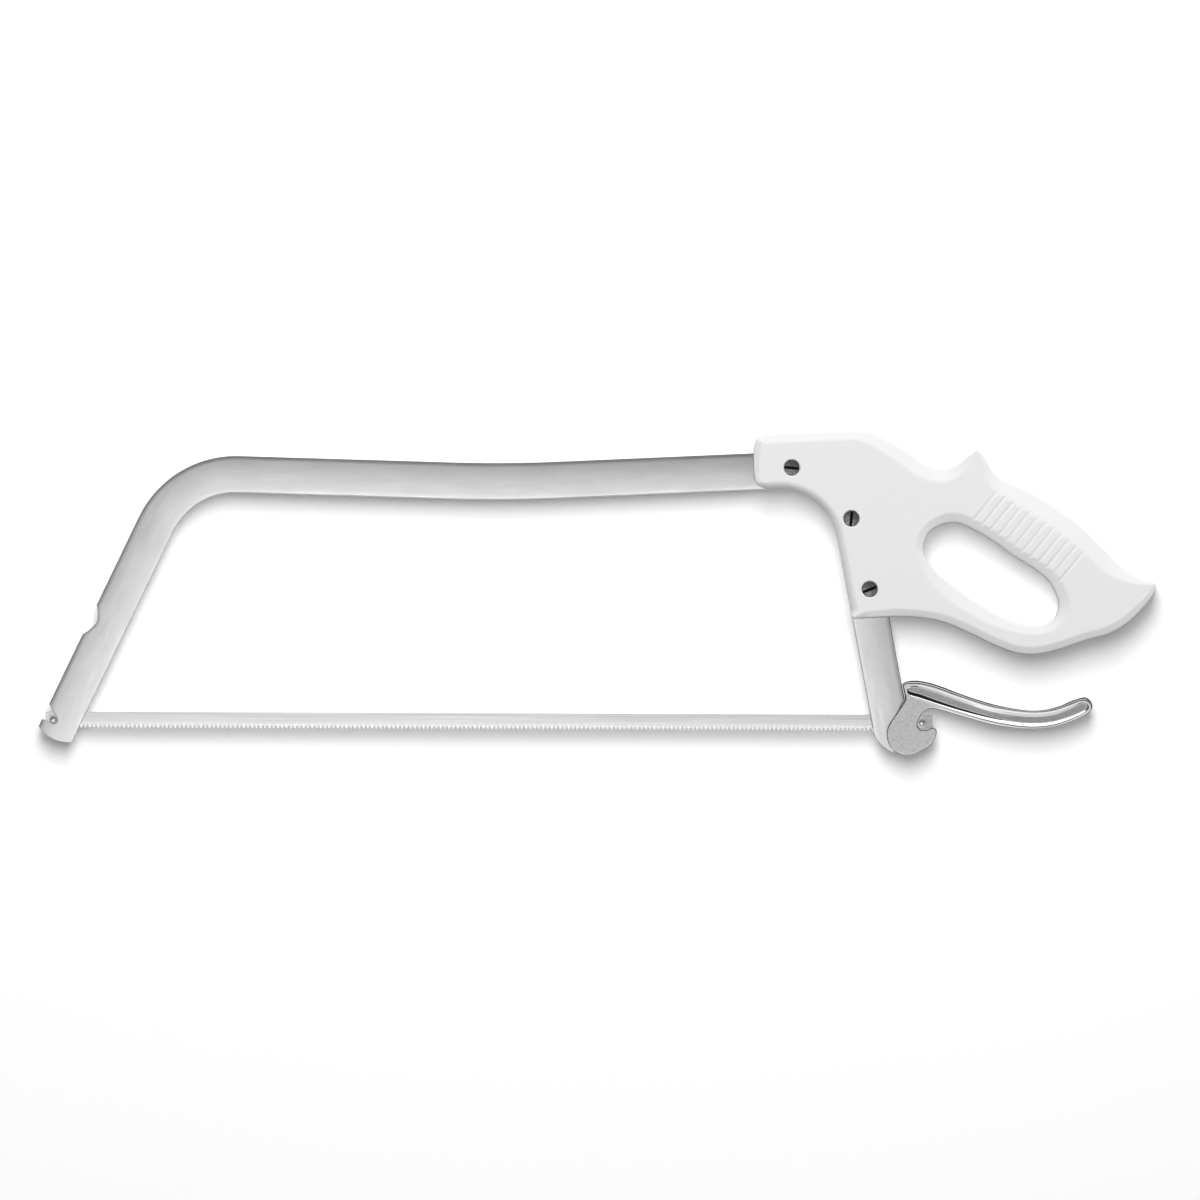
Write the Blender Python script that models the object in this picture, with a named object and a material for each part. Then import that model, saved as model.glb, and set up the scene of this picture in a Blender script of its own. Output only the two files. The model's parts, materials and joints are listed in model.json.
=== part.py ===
"""Butcher saw lying on its side.

A bent stainless bow carries a two-part moulded handle at its rear bend. The toothed blade hangs on two
cross pins: the front pin sits in a hook notch at the foot of the front leg, and the rear pin sits in
the hook of a tension lever, whose forked head straddles the foot of the rear leg. Swinging the lever
down lets the blade go slack.

The plane of the saw is drawn in x (along the blade, towards the handle) and y (from the blade up to
the bow), measured from the front pin, and z is measured from the middle of the bow's thickness.
"""

import math

import bmesh
import bpy
import numpy as np
from mathutils import Matrix, Vector
from mathutils.geometry import tessellate_polygon

MM = 0.001

# Fits
CLEARANCE = 0.3 * MM

# Blade and its cross pins
BLADE_SPAN = 508.0 * MM
BLADE_THICKNESS = 0.6 * MM
BLADE_BACK = 4.6 * MM
BLADE_BELLY = 4.7 * MM
BLADE_FRONT_TAIL = 4.2 * MM
BLADE_REAR_TAIL = 6.1 * MM
TOOTH_PITCH = 2.5 * MM
TOOTH_DEPTH = 1.3 * MM
TOOTHLESS_END = 12.0 * MM
PIN_DIAMETER = 4.2 * MM
PIN_LENGTH = 8.0 * MM
PIN_NECK_DIAMETER = 2.4 * MM
PIN_DOME = 0.5 * MM

# Bow: a flat bar bent at the front corner, the slight dip of the top and the rear corner
BAR_WIDTH = 21.5 * MM
BAR_THICKNESS = 6.0 * MM
BAR_EDGE_RADIUS = 1.8 * MM
BAR_CROWN = 0.35 * MM
FRONT_LEG_FOOT = 5.0 * MM
FRONT_LEG_LEAN = math.radians(25.4)
FRONT_HEIGHT = 144.8 * MM
DIP_FROM_REAR_PIN = 244.4 * MM
DIP_HEIGHT = 139.9 * MM
REAR_LEG_FOOT = 18.8 * MM
REAR_LEG_LEAN = math.radians(10.8)
REAR_HEIGHT = 148.8 * MM
FRONT_BEND_RADIUS = 52.0 * MM
DIP_RADIUS = 900.0 * MM
REAR_BEND_RADIUS = 45.0 * MM
LEG_OVERRUN = 40.0 * MM

# Foot of the front leg: rounded end, hook notch for the pin, and the notch halfway up the leg
FRONT_END_RADIUS = 19.6 * MM
FRONT_END_CENTRE = 7.0 * MM
HOOK_FLANK_LEAN = math.radians(28.5)
HOOK_LIP_RISE = math.radians(28.0)
HOOK_MOUTH = 14.0 * MM
SIDE_NOTCH_LOW = 50.3 * MM
SIDE_NOTCH_DEEP_LOW = 58.8 * MM
SIDE_NOTCH_DEEP_HIGH = 61.4 * MM
SIDE_NOTCH_HIGH = 69.3 * MM
SIDE_NOTCH_DEPTH = 4.4 * MM

# Foot of the rear leg: rounded end and the round seat that the lever turns in
LEVER_AXIS_BACK = 9.5 * MM
LEVER_AXIS_DROP = 3.3 * MM
HUB_RADIUS = 7.5 * MM
SEAT_TOP = 14.3 * MM
SEAT_END_ANGLE = math.radians(242.0)
REAR_END_DROP = 15.7 * MM
REAR_END_BACK = 20.0 * MM
REAR_END_SLOPE = math.radians(-33.0)
REAR_END_RADIUS = 18.0 * MM

# Tension lever
LEVER_SWING = math.radians(75.0)
CHEEK_THICKNESS = 1.9 * MM
LEVER_EDGE_RADIUS = 1.1 * MM
HEAD_CENTRE_BACK = 8.7 * MM
HEAD_CENTRE_DROP = 6.8 * MM
HEAD_RADIUS = 12.3 * MM
HEAD_START_ANGLE = math.radians(146.0)
HEAD_END_ANGLE = math.radians(306.0)
HOOK_SLACK = 1.6 * MM
HOOK_CENTRE = (0.8 * MM, -0.6 * MM)
HOOK_CLEAR_SWING = math.radians(4.0)
PANEL_SHARE = 0.38
PANEL_DEPTH = 2.4 * MM
BLADE_TAIL_SWEEP = 11.9 * MM
BLADE_TAIL_SWEEP_BACK = 4.5 * MM

# Handle: two moulded halves clamped over the rear bend by three slotted screws and sleeve nuts
HANDLE_THICKNESS = 26.0 * MM
BAR_SHOWS = 1.5 * MM
HANDLE_BAR_REACH = 44.0 * MM
HANDLE_LEG_REACH = 87.8 * MM
CONCAVE_EDGE_RADIUS = 3.3 * MM
PEG_DIAMETER = 6.0 * MM
PEG_LENGTH = 4.0 * MM
SCREW_HEAD_DIAMETER = 9.3 * MM
SCREW_HEAD_HEIGHT = 2.4 * MM
SCREW_RECESS = 0.4 * MM
SCREW_SHANK_DIAMETER = 4.6 * MM
SCREW_SLOT_WIDTH = 1.3 * MM
SCREW_SLOT_DEPTH = 1.1 * MM
SLEEVE_DIAMETER = 6.6 * MM
SLEEVE_END_GAP = 1.2 * MM
SLEEVE_BLIND = 1.5 * MM
GROOVE_COUNT = 12
GROOVE_WIDTH = 1.5 * MM
GROOVE_DEPTH = 0.9 * MM
GROOVE_LENGTH = 34.0 * MM
GROOVE_ANGLE = math.radians(50.0)

# Points of the handle, in millimetres from the rear corner of the bow, each with its edge rounding; those
# of the foot lie HANDLE_LEG_REACH lower
HANDLE_FOOT = [(14.1, 0.2, 3.0), (32.2, 1.4, 3.7), (47.0, 1.1, 3.7)]
HANDLE_BOTTOM = [
    (58.5, -88.3, 3.7), (68.7, -91.9, 3.7), (91.3, -102.8, 3.7), (101.8, -106.8, 3.7),
    (110.9, -108.2, 3.7), (118.8, -107.3, 3.7), (128.7, -103.9, 3.7), (142.1, -98.6, 3.7), (154.9, -95.9, 3.7),
    (166.0, -90.3, 3.6), (174.8, -82.1, 3.0), (180.6, -74.8, 2.2), (183.1, -68.9, 1.4),
]
HANDLE_BACK = [
    (182.6, -66.5, 1.2), (175.9, -64.7, 2.4), (168.3, -60.7, 5.0), (160.0, -54.1, 7.5),
    (150.7, -44.5, 8.5), (140.7, -34.9, 9.0), (129.3, -26.2, 9.0), (117.2, -17.9, 9.0),
    (104.1, -10.9, 8.5), (92.1, -5.8, 6.5), (87.4, -1.8, 4.0), (84.4, 3.8, 2.4), (81.8, 7.8, 1.6),
]
HANDLE_TOP = [
    (78.7, 10.6, 0.9), (73.7, 7.4, 2.2), (68.1, 3.0, 4.5), (61.5, 0.4, 6.5), (53.5, 0.7, 7.0),
    (46.7, 3.6, 7.0), (38.5, 9.4, 7.0), (28.9, 15.1, 7.0), (17.2, 20.5, 6.5), (8.4, 21.9, 5.8),
    (-5.6, 21.5, 5.8), (-19.1, 20.9, 5.8), (-46.5, 18.7, 4.2), (-50.6, 17.0, 2.2),
]
HANDLE_FRONT = [(-51.8, 11.0, 3.0), (-51.7, -5.0, 2.4), (-50.2, -9.6, 1.8)]
FINGER_HOLE = [
    (47.0, -47.2, 4.0), (50.1, -38.2, 4.2), (54.2, -34.9, 4.6), (62.2, -32.0, 5.3), (68.8, -32.5, 5.3),
    (76.4, -35.9, 5.3), (87.9, -42.6, 5.3), (99.8, -51.1, 5.3), (112.7, -59.2, 5.3),
    (120.9, -66.2, 5.6), (125.4, -75.0, 6.0), (126.4, -79.1, 6.0), (125.1, -85.5, 5.4),
    (121.3, -90.2, 5.0), (116.1, -92.0, 5.0), (107.6, -91.5, 5.5), (97.1, -87.7, 6.5),
    (88.0, -82.7, 8.0), (76.5, -75.5, 9.5), (65.0, -67.6, 10.0), (56.0, -60.6, 8.0), (50.2, -54.1, 5.0),
]
SCREW_PLACES = {"bar": (-29.8, -0.2, 175.0), "bend": (5.1, -29.8, 84.0), "leg": (16.0, -71.0, 22.0)}
PEG_PLACES = [(70.0, -12.0), (153.0, -73.0), (110.0, -100.0)]
FIRST_GROOVE = (84.3, -21.0)
LAST_GROOVE = (135.4, -55.7)

# Points of the lever's hook, in millimetres from the rear pin, and the spine of its arm with half heights
LEVER_HOOK = [(3.2, -14.2), (6.4, -11.0), (8.3, -6.9), (8.4, -4.4), (7.0, -2.9), (5.2, -3.1), (3.6, -3.8)]
LEVER_HOOK_ROOF = [(-1.7, 2.6), (-0.7, 4.9), (0.9, 6.8), (3.2, 8.1), (5.6, 8.3)]
ARM_SPINE = [
    (10.0, 14.7, 6.7), (18.0, 12.0, 6.3), (30.0, 8.3, 5.9), (42.0, 5.0, 5.8), (54.0, 3.0, 5.5),
    (64.0, 2.2, 5.3), (74.0, 3.0, 5.4), (83.0, 5.4, 5.6), (90.0, 8.3, 5.7),
]
ARM_TIP = [(96.8, 5.7), (99.4, 8.9), (98.6, 12.9), (95.3, 15.3)]
PANEL_HEAD = [(-1.0, 21.0), (-6.0, 21.6), (-8.0, 21.0), (-7.9, 17.0)]
PANEL_TIP = [(95.0, 8.5), (96.4, 10.2), (95.3, 11.7), (92.6, 11.7)]
LEVER_SHOULDER = [(2.7, 23.9), (-3.9, 24.8), (-8.6, 24.4)]

WHITE_POLYPROPYLENE = ("white_polypropylene", (0.80, 0.80, 0.79), 0.45, 0.0)
BRUSHED_STAINLESS = ("brushed_stainless", (0.62, 0.62, 0.61), 0.32, 1.0)
BLADE_STEEL = ("blade_steel", (0.72, 0.72, 0.71), 0.35, 1.0)
NICKEL_PLATE = ("nickel_plate", (0.66, 0.65, 0.63), 0.18, 1.0)
DARK_STEEL = ("dark_steel", (0.12, 0.12, 0.12), 0.40, 1.0)

FRONT_PIN = Vector((0.0, 0.0))
REAR_PIN = Vector((BLADE_SPAN, 0.0))
LEVER_AXIS = REAR_PIN + Vector((-LEVER_AXIS_BACK, -LEVER_AXIS_DROP))
BLADE_SLOT = BLADE_THICKNESS + 2 * CLEARANCE
HALF_BAR = BAR_WIDTH / 2
LEVER_HALF = BAR_THICKNESS / 2 + CLEARANCE + CHEEK_THICKNESS
HANDLE_HALF = HANDLE_THICKNESS / 2
FRONT_CORNER = Vector((FRONT_LEG_FOOT + FRONT_HEIGHT * math.tan(FRONT_LEG_LEAN), FRONT_HEIGHT))
DIP = REAR_PIN + Vector((-DIP_FROM_REAR_PIN, DIP_HEIGHT))
REAR_CORNER = REAR_PIN + Vector((-REAR_LEG_FOOT - REAR_HEIGHT * math.tan(REAR_LEG_LEAN), REAR_HEIGHT))


def arc(centre, radius, start, end, steps):
    """Points on a circle from one angle to another, both ends included."""
    angles = np.linspace(start, end, steps + 1)
    return [Vector((centre[0] + radius * math.cos(a), centre[1] + radius * math.sin(a))) for a in angles]


def from_rear_corner(points):
    """Millimetre points measured from the bow's rear corner, as points of the saw's plane."""
    return [REAR_CORNER + Vector(point[:2]) * MM for point in points]


def from_rear_pin(points):
    """Millimetre points measured from the rear pin, as points of the saw's plane."""
    return [REAR_PIN + Vector(point[:2]) * MM for point in points]


def filleted(vertices, radii, steps):
    """A line through the vertices with each inner corner replaced by an arc of its radius."""
    points = [vertices[0]]
    for before, corner, after, radius in zip(vertices, vertices[1:], vertices[2:], radii):
        arrive = (corner - before).normalized()
        leave = (after - corner).normalized()
        turn = math.atan2(arrive.cross(leave), arrive.dot(leave))
        reach = radius * math.tan(abs(turn) / 2)
        side = math.copysign(radius, turn)
        centre = corner - arrive * reach + Vector((-arrive.y, arrive.x)) * side
        spoke = corner - arrive * reach - centre
        for angle in np.linspace(0.0, turn, steps + 1):
            points.append(centre + Matrix.Rotation(angle, 2) @ spoke)
    points.append(vertices[-1])
    return points


def tangents(points, closed):
    """Unit directions of travel at each point of a line, from its neighbours."""
    line = np.array([tuple(point) for point in points])
    if closed:
        run = np.roll(line, -1, axis=0) - np.roll(line, 1, axis=0)
    else:
        run = np.gradient(line, axis=0)
        run[0] = line[1] - line[0]
        run[-1] = line[-1] - line[-2]
    return run / np.linalg.norm(run, axis=1)[:, None]


def smooth_loop(points, values, turn_limit=math.radians(11.0), length_limit=14.0 * MM):
    """A closed Catmull-Rom curve through the points, kept only where it turns or runs long.

    Each point carries a value, which is spread evenly along the curve with it."""
    nodes = np.array([tuple(point) + (value,) for point, value in zip(points, values)])
    gaps = np.sqrt(np.linalg.norm(np.roll(nodes, -1, axis=0)[:, :2] - nodes[:, :2], axis=1))
    fine = []
    for index in range(len(nodes)):
        p0, p1, p2, p3 = (nodes[(index + shift) % len(nodes)] for shift in (-1, 0, 1, 2))
        d0, d1, d2 = (gaps[(index + shift) % len(nodes)] for shift in (-1, 0, 1))
        m1 = ((p1 - p0) / d0 - (p2 - p0) / (d0 + d1) + (p2 - p1) / d1) * d1
        m2 = ((p2 - p1) / d1 - (p3 - p1) / (d1 + d2) + (p3 - p2) / d2) * d1
        for t in np.linspace(0.0, 1.0, 12, endpoint=False):
            blend = (2 * t**3 - 3 * t**2 + 1) * p1 + (t**3 - 2 * t**2 + t) * m1
            fine.append(blend + (3 * t**2 - 2 * t**3) * p2 + (t**3 - t**2) * m2)
    fine = np.array(fine)
    run = np.roll(fine, -1, axis=0)[:, :2] - fine[:, :2]
    heading = np.unwrap(np.arctan2(run[:, 1], run[:, 0]))
    travelled = np.concatenate([[0.0], np.cumsum(np.linalg.norm(run, axis=1))[:-1]])
    kept = [0]
    for index in range(1, len(fine)):
        turned = abs(heading[index] - heading[kept[-1]]) > turn_limit
        if turned or travelled[index] - travelled[kept[-1]] > length_limit:
            kept.append(index)
    return [Vector(row[:2]) for row in fine[kept]], fine[kept, 2]


def add_loft(bm, rings, closed_ends):
    """Quads between rings of points, with a polygon on each end."""
    loops = [[bm.verts.new(point) for point in ring] for ring in rings]
    for low, high in zip(loops, loops[1:]):
        for index in range(len(low)):
            after = (index + 1) % len(low)
            bm.faces.new((low[index], low[after], high[after], high[index]))
    if closed_ends:
        bm.faces.new(loops[0])
        bm.faces.new(loops[-1])
    return loops


def add_prism(bm, outline, low, high):
    """An outline of the saw's plane carried from one height to another."""
    rings = [[Vector((point[0], point[1], height)) for point in outline] for height in (low, high)]
    add_loft(bm, rings, True)


def add_turned(bm, place, profile, segments=24):
    """A profile of (radius, height) pairs turned about an upright axis, closed by flat ends."""
    angles = [2 * math.pi * index / segments for index in range(segments)]
    rings = []
    for radius, height in profile:
        ring = [Vector((place[0] + radius * math.cos(a), place[1] + radius * math.sin(a), height)) for a in angles]
        rings.append(ring)
    add_loft(bm, rings, True)


def add_rounded_plate(bm, loops, low, high, round_low, steps=3):
    """A plate whose loops have rounded upper edges, and rounded lower edges where asked.

    Each loop is (points, edge radii), with the material on the left of its direction of travel. The
    rounding moves a point inwards by r(1 - cos a) while it rises by r sin a."""
    angles = np.linspace(0.0, math.pi / 2, steps + 1)
    top, bottom = [], []
    for points, radii in loops:
        line = np.array([tuple(point) for point in points])
        way = tangents(points, True)
        inward = np.stack([-way[:, 1], way[:, 0]], axis=1)
        levels = []
        if round_low:
            for angle in angles[::-1]:
                levels.append((radii * (1 - math.cos(angle)), low + radii * (1 - math.sin(angle))))
        else:
            levels.append((radii * 0.0, low + radii * 0.0))
        for angle in angles:
            levels.append((radii * (1 - math.cos(angle)), high - radii * (1 - math.sin(angle))))
        rings = []
        for inset, height in levels:
            flat = line + inward * inset[:, None]
            rings.append([Vector((x, y, z)) for (x, y), z in zip(flat, height)])
        made = add_loft(bm, rings, False)
        bottom.append(made[0])
        top.append(made[-1])
    for cap in (bottom, top):
        verts = [vert for loop in cap for vert in loop]
        for triangle in tessellate_polygon([[vert.co for vert in loop] for loop in cap]):
            bm.faces.new([verts[index] for index in triangle])


def make_object(name, bm, finish, parent, axis=None):
    """A finished object of the model, with its origin on the given axis of the saw's plane."""
    bmesh.ops.recalc_face_normals(bm, faces=bm.faces)
    mesh = bpy.data.meshes.new(name)
    bm.to_mesh(mesh)
    bm.free()
    obj = bpy.data.objects.new(name, mesh)
    bpy.context.scene.collection.objects.link(obj)
    if finish:
        mesh.materials.append(finish)
    if axis is not None:
        mesh.transform(Matrix.Translation((-axis.x, -axis.y, 0.0)))
    obj.parent = parent
    return obj


def boolean(obj, cutter_mesh, operation):
    """Cuts a shape out of an object, or joins it on, and keeps the result as the object's mesh."""
    bmesh.ops.recalc_face_normals(cutter_mesh, faces=cutter_mesh.faces)
    mesh = bpy.data.meshes.new("cutter")
    cutter_mesh.to_mesh(mesh)
    cutter_mesh.free()
    cutter = bpy.data.objects.new("cutter", mesh)
    cutter.parent = obj.parent
    bpy.context.scene.collection.objects.link(cutter)
    modifier = obj.modifiers.new("cut", "BOOLEAN")
    modifier.operation = operation
    modifier.object = cutter
    modifier.use_self = True
    graph = bpy.context.evaluated_depsgraph_get()
    result = bpy.data.meshes.new_from_object(obj.evaluated_get(graph))
    obj.modifiers.clear()
    obj.data = result
    bpy.data.objects.remove(cutter)


def make_finish(name, colour, roughness, metallic):
    """A Principled material."""
    material = bpy.data.materials.new(name)
    material.use_nodes = True
    shader = material.node_tree.nodes["Principled BSDF"]
    shader.inputs["Base Color"].default_value = (*colour, 1.0)
    shader.inputs["Roughness"].default_value = roughness
    shader.inputs["Metallic"].default_value = metallic
    return material


def bar_path():
    """The bow's centre line from below the front foot, over the top, to below the rear foot."""
    front_down = Vector((-math.sin(FRONT_LEG_LEAN), -math.cos(FRONT_LEG_LEAN)))
    rear_down = Vector((math.sin(REAR_LEG_LEAN), -math.cos(REAR_LEG_LEAN)))
    start = Vector((FRONT_LEG_FOOT, 0.0)) + front_down * LEG_OVERRUN
    end = REAR_PIN - Vector((REAR_LEG_FOOT, 0.0)) + rear_down * LEG_OVERRUN
    corners = [start, FRONT_CORNER, DIP, REAR_CORNER, end]
    return filleted(corners, [FRONT_BEND_RADIUS, DIP_RADIUS, REAR_BEND_RADIUS], 9)


def bar_section(half_width, half_height, edge, crown):
    """The bar's section as (distance towards the throat, height): rounded edges and a slight crown."""
    side = []
    for angle in np.linspace(0.0, math.pi / 2, 4):
        side.append((half_width - edge + edge * math.cos(angle), half_height - crown - edge * (1 - math.sin(angle))))
    upper = side + [(0.0, half_height)] + [(-x, z) for x, z in side[::-1]]
    return upper + [(x, -z) for x, z in upper[::-1]]


def add_bar(bm, path, section):
    """The section carried along the centre line."""
    way = tangents(path, False)
    rings = []
    for point, (tx, ty) in zip(path, way):
        rings.append([Vector((point.x + ty * x, point.y - tx * x, z)) for x, z in section])
    add_loft(bm, rings, True)


def rear_leg_edge(height, side):
    """The x of the rear leg's edge at a height above the blade line, -1 for the throat side, 1 for the back."""
    reach = side * HALF_BAR / math.cos(REAR_LEG_LEAN)
    return BLADE_SPAN - REAR_LEG_FOOT - height * math.tan(REAR_LEG_LEAN) + reach


def seat_outline(radius, corner, end_angle):
    """The line of the lever's seat: from the corner of the leg's back edge, tangent to a circle round the
    lever's axis, and along that circle to its end angle."""
    offset = corner - LEVER_AXIS
    facing = math.atan2(offset.y, offset.x) + math.acos(radius / offset.length)
    return [corner] + arc(LEVER_AXIS, radius, facing, end_angle, 10)


def leg_back_corner(gap):
    """Where the straight back edge of the rear leg ends and the seat begins, moved out by a gap."""
    return Vector((rear_leg_edge(SEAT_TOP, 1) + gap, SEAT_TOP))


def front_foot_cuts():
    """Outlines and half heights cut from the front leg: past its round end, the hook notch, the side notch
    and the blade slot."""
    up = Vector((math.sin(FRONT_LEG_LEAN), math.cos(FRONT_LEG_LEAN)))
    inner = Vector((up.y, -up.x))
    foot = Vector((FRONT_LEG_FOOT, 0.0))
    centre = foot + up * FRONT_END_CENTRE
    heading = math.atan2(-up.y, -up.x)
    spread = math.asin(min(0.99, (HALF_BAR + CLEARANCE) / FRONT_END_RADIUS))
    end = arc(centre, FRONT_END_RADIUS, heading - spread, heading + spread, 12)
    far = [foot - up * 2 * LEG_OVERRUN + inner * BAR_WIDTH, foot - up * 2 * LEG_OVERRUN - inner * BAR_WIDTH]
    yield [end[0] - inner * HALF_BAR] + end + [end[-1] + inner * HALF_BAR] + far, BAR_THICKNESS

    pocket = PIN_DIAMETER / 2 + CLEARANCE
    flank = Vector((-math.sin(HOOK_FLANK_LEAN), math.cos(HOOK_FLANK_LEAN)))
    lip = Vector((-math.cos(HOOK_LIP_RISE), math.sin(HOOK_LIP_RISE)))
    bowl = arc(FRONT_PIN, pocket, -math.pi / 2 - HOOK_LIP_RISE, HOOK_FLANK_LEAN, 10)
    mouth = [bowl[-1] + flank * HOOK_MOUTH, bowl[0] + lip * HOOK_MOUTH + flank * HOOK_MOUTH / 2]
    yield bowl + mouth + [bowl[0] + lip * HOOK_MOUTH], BAR_THICKNESS

    edge = foot - inner * HALF_BAR
    notch = [
        (SIDE_NOTCH_LOW, -CLEARANCE), (SIDE_NOTCH_DEEP_LOW, SIDE_NOTCH_DEPTH),
        (SIDE_NOTCH_DEEP_HIGH, SIDE_NOTCH_DEPTH), (SIDE_NOTCH_HIGH, -CLEARANCE),
        (SIDE_NOTCH_HIGH, -SIDE_NOTCH_DEPTH), (SIDE_NOTCH_LOW, -SIDE_NOTCH_DEPTH),
    ]
    yield [edge + up * s + inner * d for s, d in notch], BAR_THICKNESS
    yield blade_slot(-LEG_OVERRUN, LEG_OVERRUN), BLADE_SLOT / 2


def blade_slot(left, right):
    """The slot for the blade between two places along it, open below and just clear of its back."""
    top = BLADE_BACK + 2 * CLEARANCE
    return [Vector(point) for point in ((left, -LEG_OVERRUN), (right, -LEG_OVERRUN), (right, top), (left, top))]


def rear_foot_cuts():
    """Outlines and half heights cut from the rear leg: the lever's seat, past its round end, and the blade slot."""
    seat = seat_outline(HUB_RADIUS + CLEARANCE, leg_back_corner(0.0), SEAT_END_ANGLE)
    out = Vector((math.cos(SEAT_END_ANGLE), math.sin(SEAT_END_ANGLE)))
    right = Vector((1.0, 0.0))
    start = seat[0] + (seat[0] - seat[1]).normalized() * 2 * CLEARANCE
    ring = [start] + seat[1:] + [LEVER_AXIS + out * LEG_OVERRUN, LEVER_AXIS + (out + right * 2) * LEG_OVERRUN]
    yield ring + [start + right * 2 * LEG_OVERRUN], BAR_THICKNESS

    slope = Vector((math.cos(REAR_END_SLOPE), math.sin(REAR_END_SLOPE)))
    on_end = REAR_PIN + Vector((-REAR_END_BACK, -REAR_END_DROP))
    edge_way = Vector((math.sin(REAR_LEG_LEAN), -math.cos(REAR_LEG_LEAN)))
    edge = Vector((rear_leg_edge(0.0, -1), 0.0))
    across = edge_way.x * slope.y - edge_way.y * slope.x
    offset = on_end - edge
    corner = edge + edge_way * ((offset.x * slope.y - offset.y * slope.x) / across)
    line = filleted([edge - edge_way * HALF_BAR, corner, on_end + slope * LEG_OVERRUN], [REAR_END_RADIUS], 6)
    line[0] = line[0] - right * CLEARANCE
    low = Vector((0.0, -2 * LEG_OVERRUN))
    yield line + [line[-1] + low, line[0] + low - right * HALF_BAR, line[0] - right * HALF_BAR], BAR_THICKNESS
    yield blade_slot(BLADE_SPAN - 2 * LEG_OVERRUN, BLADE_SPAN + HALF_BAR), BLADE_SLOT / 2


def screw_places():
    """Name, place and slot angle of each handle screw."""
    for name, (x, y, turn) in SCREW_PLACES.items():
        yield name, REAR_CORNER + Vector((x, y)) * MM, math.radians(turn)


def make_bow(finish, parent):
    """The bow: one flat bar with its feet cut to shape and three screw holes."""
    bm = bmesh.new()
    add_bar(bm, bar_path(), bar_section(HALF_BAR, BAR_THICKNESS / 2, BAR_EDGE_RADIUS, BAR_CROWN))
    bow = make_object("bow_frame", bm, finish, parent)
    for outline, half in (*front_foot_cuts(), *rear_foot_cuts()):
        bm = bmesh.new()
        add_prism(bm, outline, -half, half)
        boolean(bow, bm, "DIFFERENCE")
    holes = bmesh.new()
    reach = SLEEVE_DIAMETER / 2 + CLEARANCE
    for _, place, _ in screw_places():
        add_turned(holes, place, [(reach, -BAR_THICKNESS), (reach, BAR_THICKNESS)], 16)
    boolean(bow, holes, "DIFFERENCE")
    return bow


def concave_edge():
    """The handle's edge along the throat, set back from the bow's inner edge so that the bar shows."""
    path = bar_path()
    way = tangents(path, False)
    inset = HALF_BAR - BAR_SHOWS
    line = np.array([(p.x + ty * inset, p.y - tx * inset) for p, (tx, ty) in zip(path, way)])
    left = REAR_CORNER.x - HANDLE_BAR_REACH
    low = REAR_CORNER.y - HANDLE_LEG_REACH
    bend = line[(line[:, 0] > left + 4 * MM) & (line[:, 1] > low + 4 * MM)]
    before = line[line[:, 0] <= left + 4 * MM][-1]
    after = line[line[:, 1] <= low + 4 * MM][-1]
    start = bend[0] + (before - bend[0]) * (bend[0][0] - left) / (bend[0][0] - before[0])
    foot = bend[-1] + (after - bend[-1]) * (bend[-1][1] - low) / (bend[-1][1] - after[1])
    middle = (bend[-1] + foot) / 2
    return [Vector(point) for point in [start, *bend[::2], middle, foot]]


def handle_loops():
    """The handle's outline and its finger hole, each with its edge rounding."""
    foot = [(x, y - HANDLE_LEG_REACH / MM, radius) for x, y, radius in HANDLE_FOOT]
    given = foot + HANDLE_BOTTOM + HANDLE_BACK + HANDLE_TOP + HANDLE_FRONT
    edge = concave_edge()
    limit = HANDLE_HALF - 2 * MM
    points = from_rear_corner(given) + edge
    edge_radii = [CONCAVE_EDGE_RADIUS] * (len(edge) - 1) + [CONCAVE_EDGE_RADIUS / 3]
    radii = [min(limit, point[2] * MM) for point in given] + edge_radii
    outline = smooth_loop(points, radii)
    hole = smooth_loop(from_rear_corner(FINGER_HOLE), [min(limit, p[2] * MM) for p in FINGER_HOLE])
    return [outline, hole]


def add_grooves(bm, face, side):
    """Three-sided bars that cut the row of grip grooves into the face on one side."""
    first, last = from_rear_corner([FIRST_GROOVE, LAST_GROOVE])
    along = Vector((math.cos(GROOVE_ANGLE), math.sin(GROOVE_ANGLE)))
    across = Vector((-along.y, along.x))
    lift = GROOVE_DEPTH
    for index in range(GROOVE_COUNT):
        centre = first.lerp(last, index / (GROOVE_COUNT - 1))
        rings = []
        for end in (-0.5, 0.5):
            place = centre + along * GROOVE_LENGTH * end
            wide = across * GROOVE_WIDTH
            ring = [
                (*(place - wide), side * (face + lift)), (*(place + wide), side * (face + lift)),
                (*place, side * (face - GROOVE_DEPTH)),
            ]
            rings.append([Vector(point) for point in ring])
        add_loft(bm, rings, True)


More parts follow.
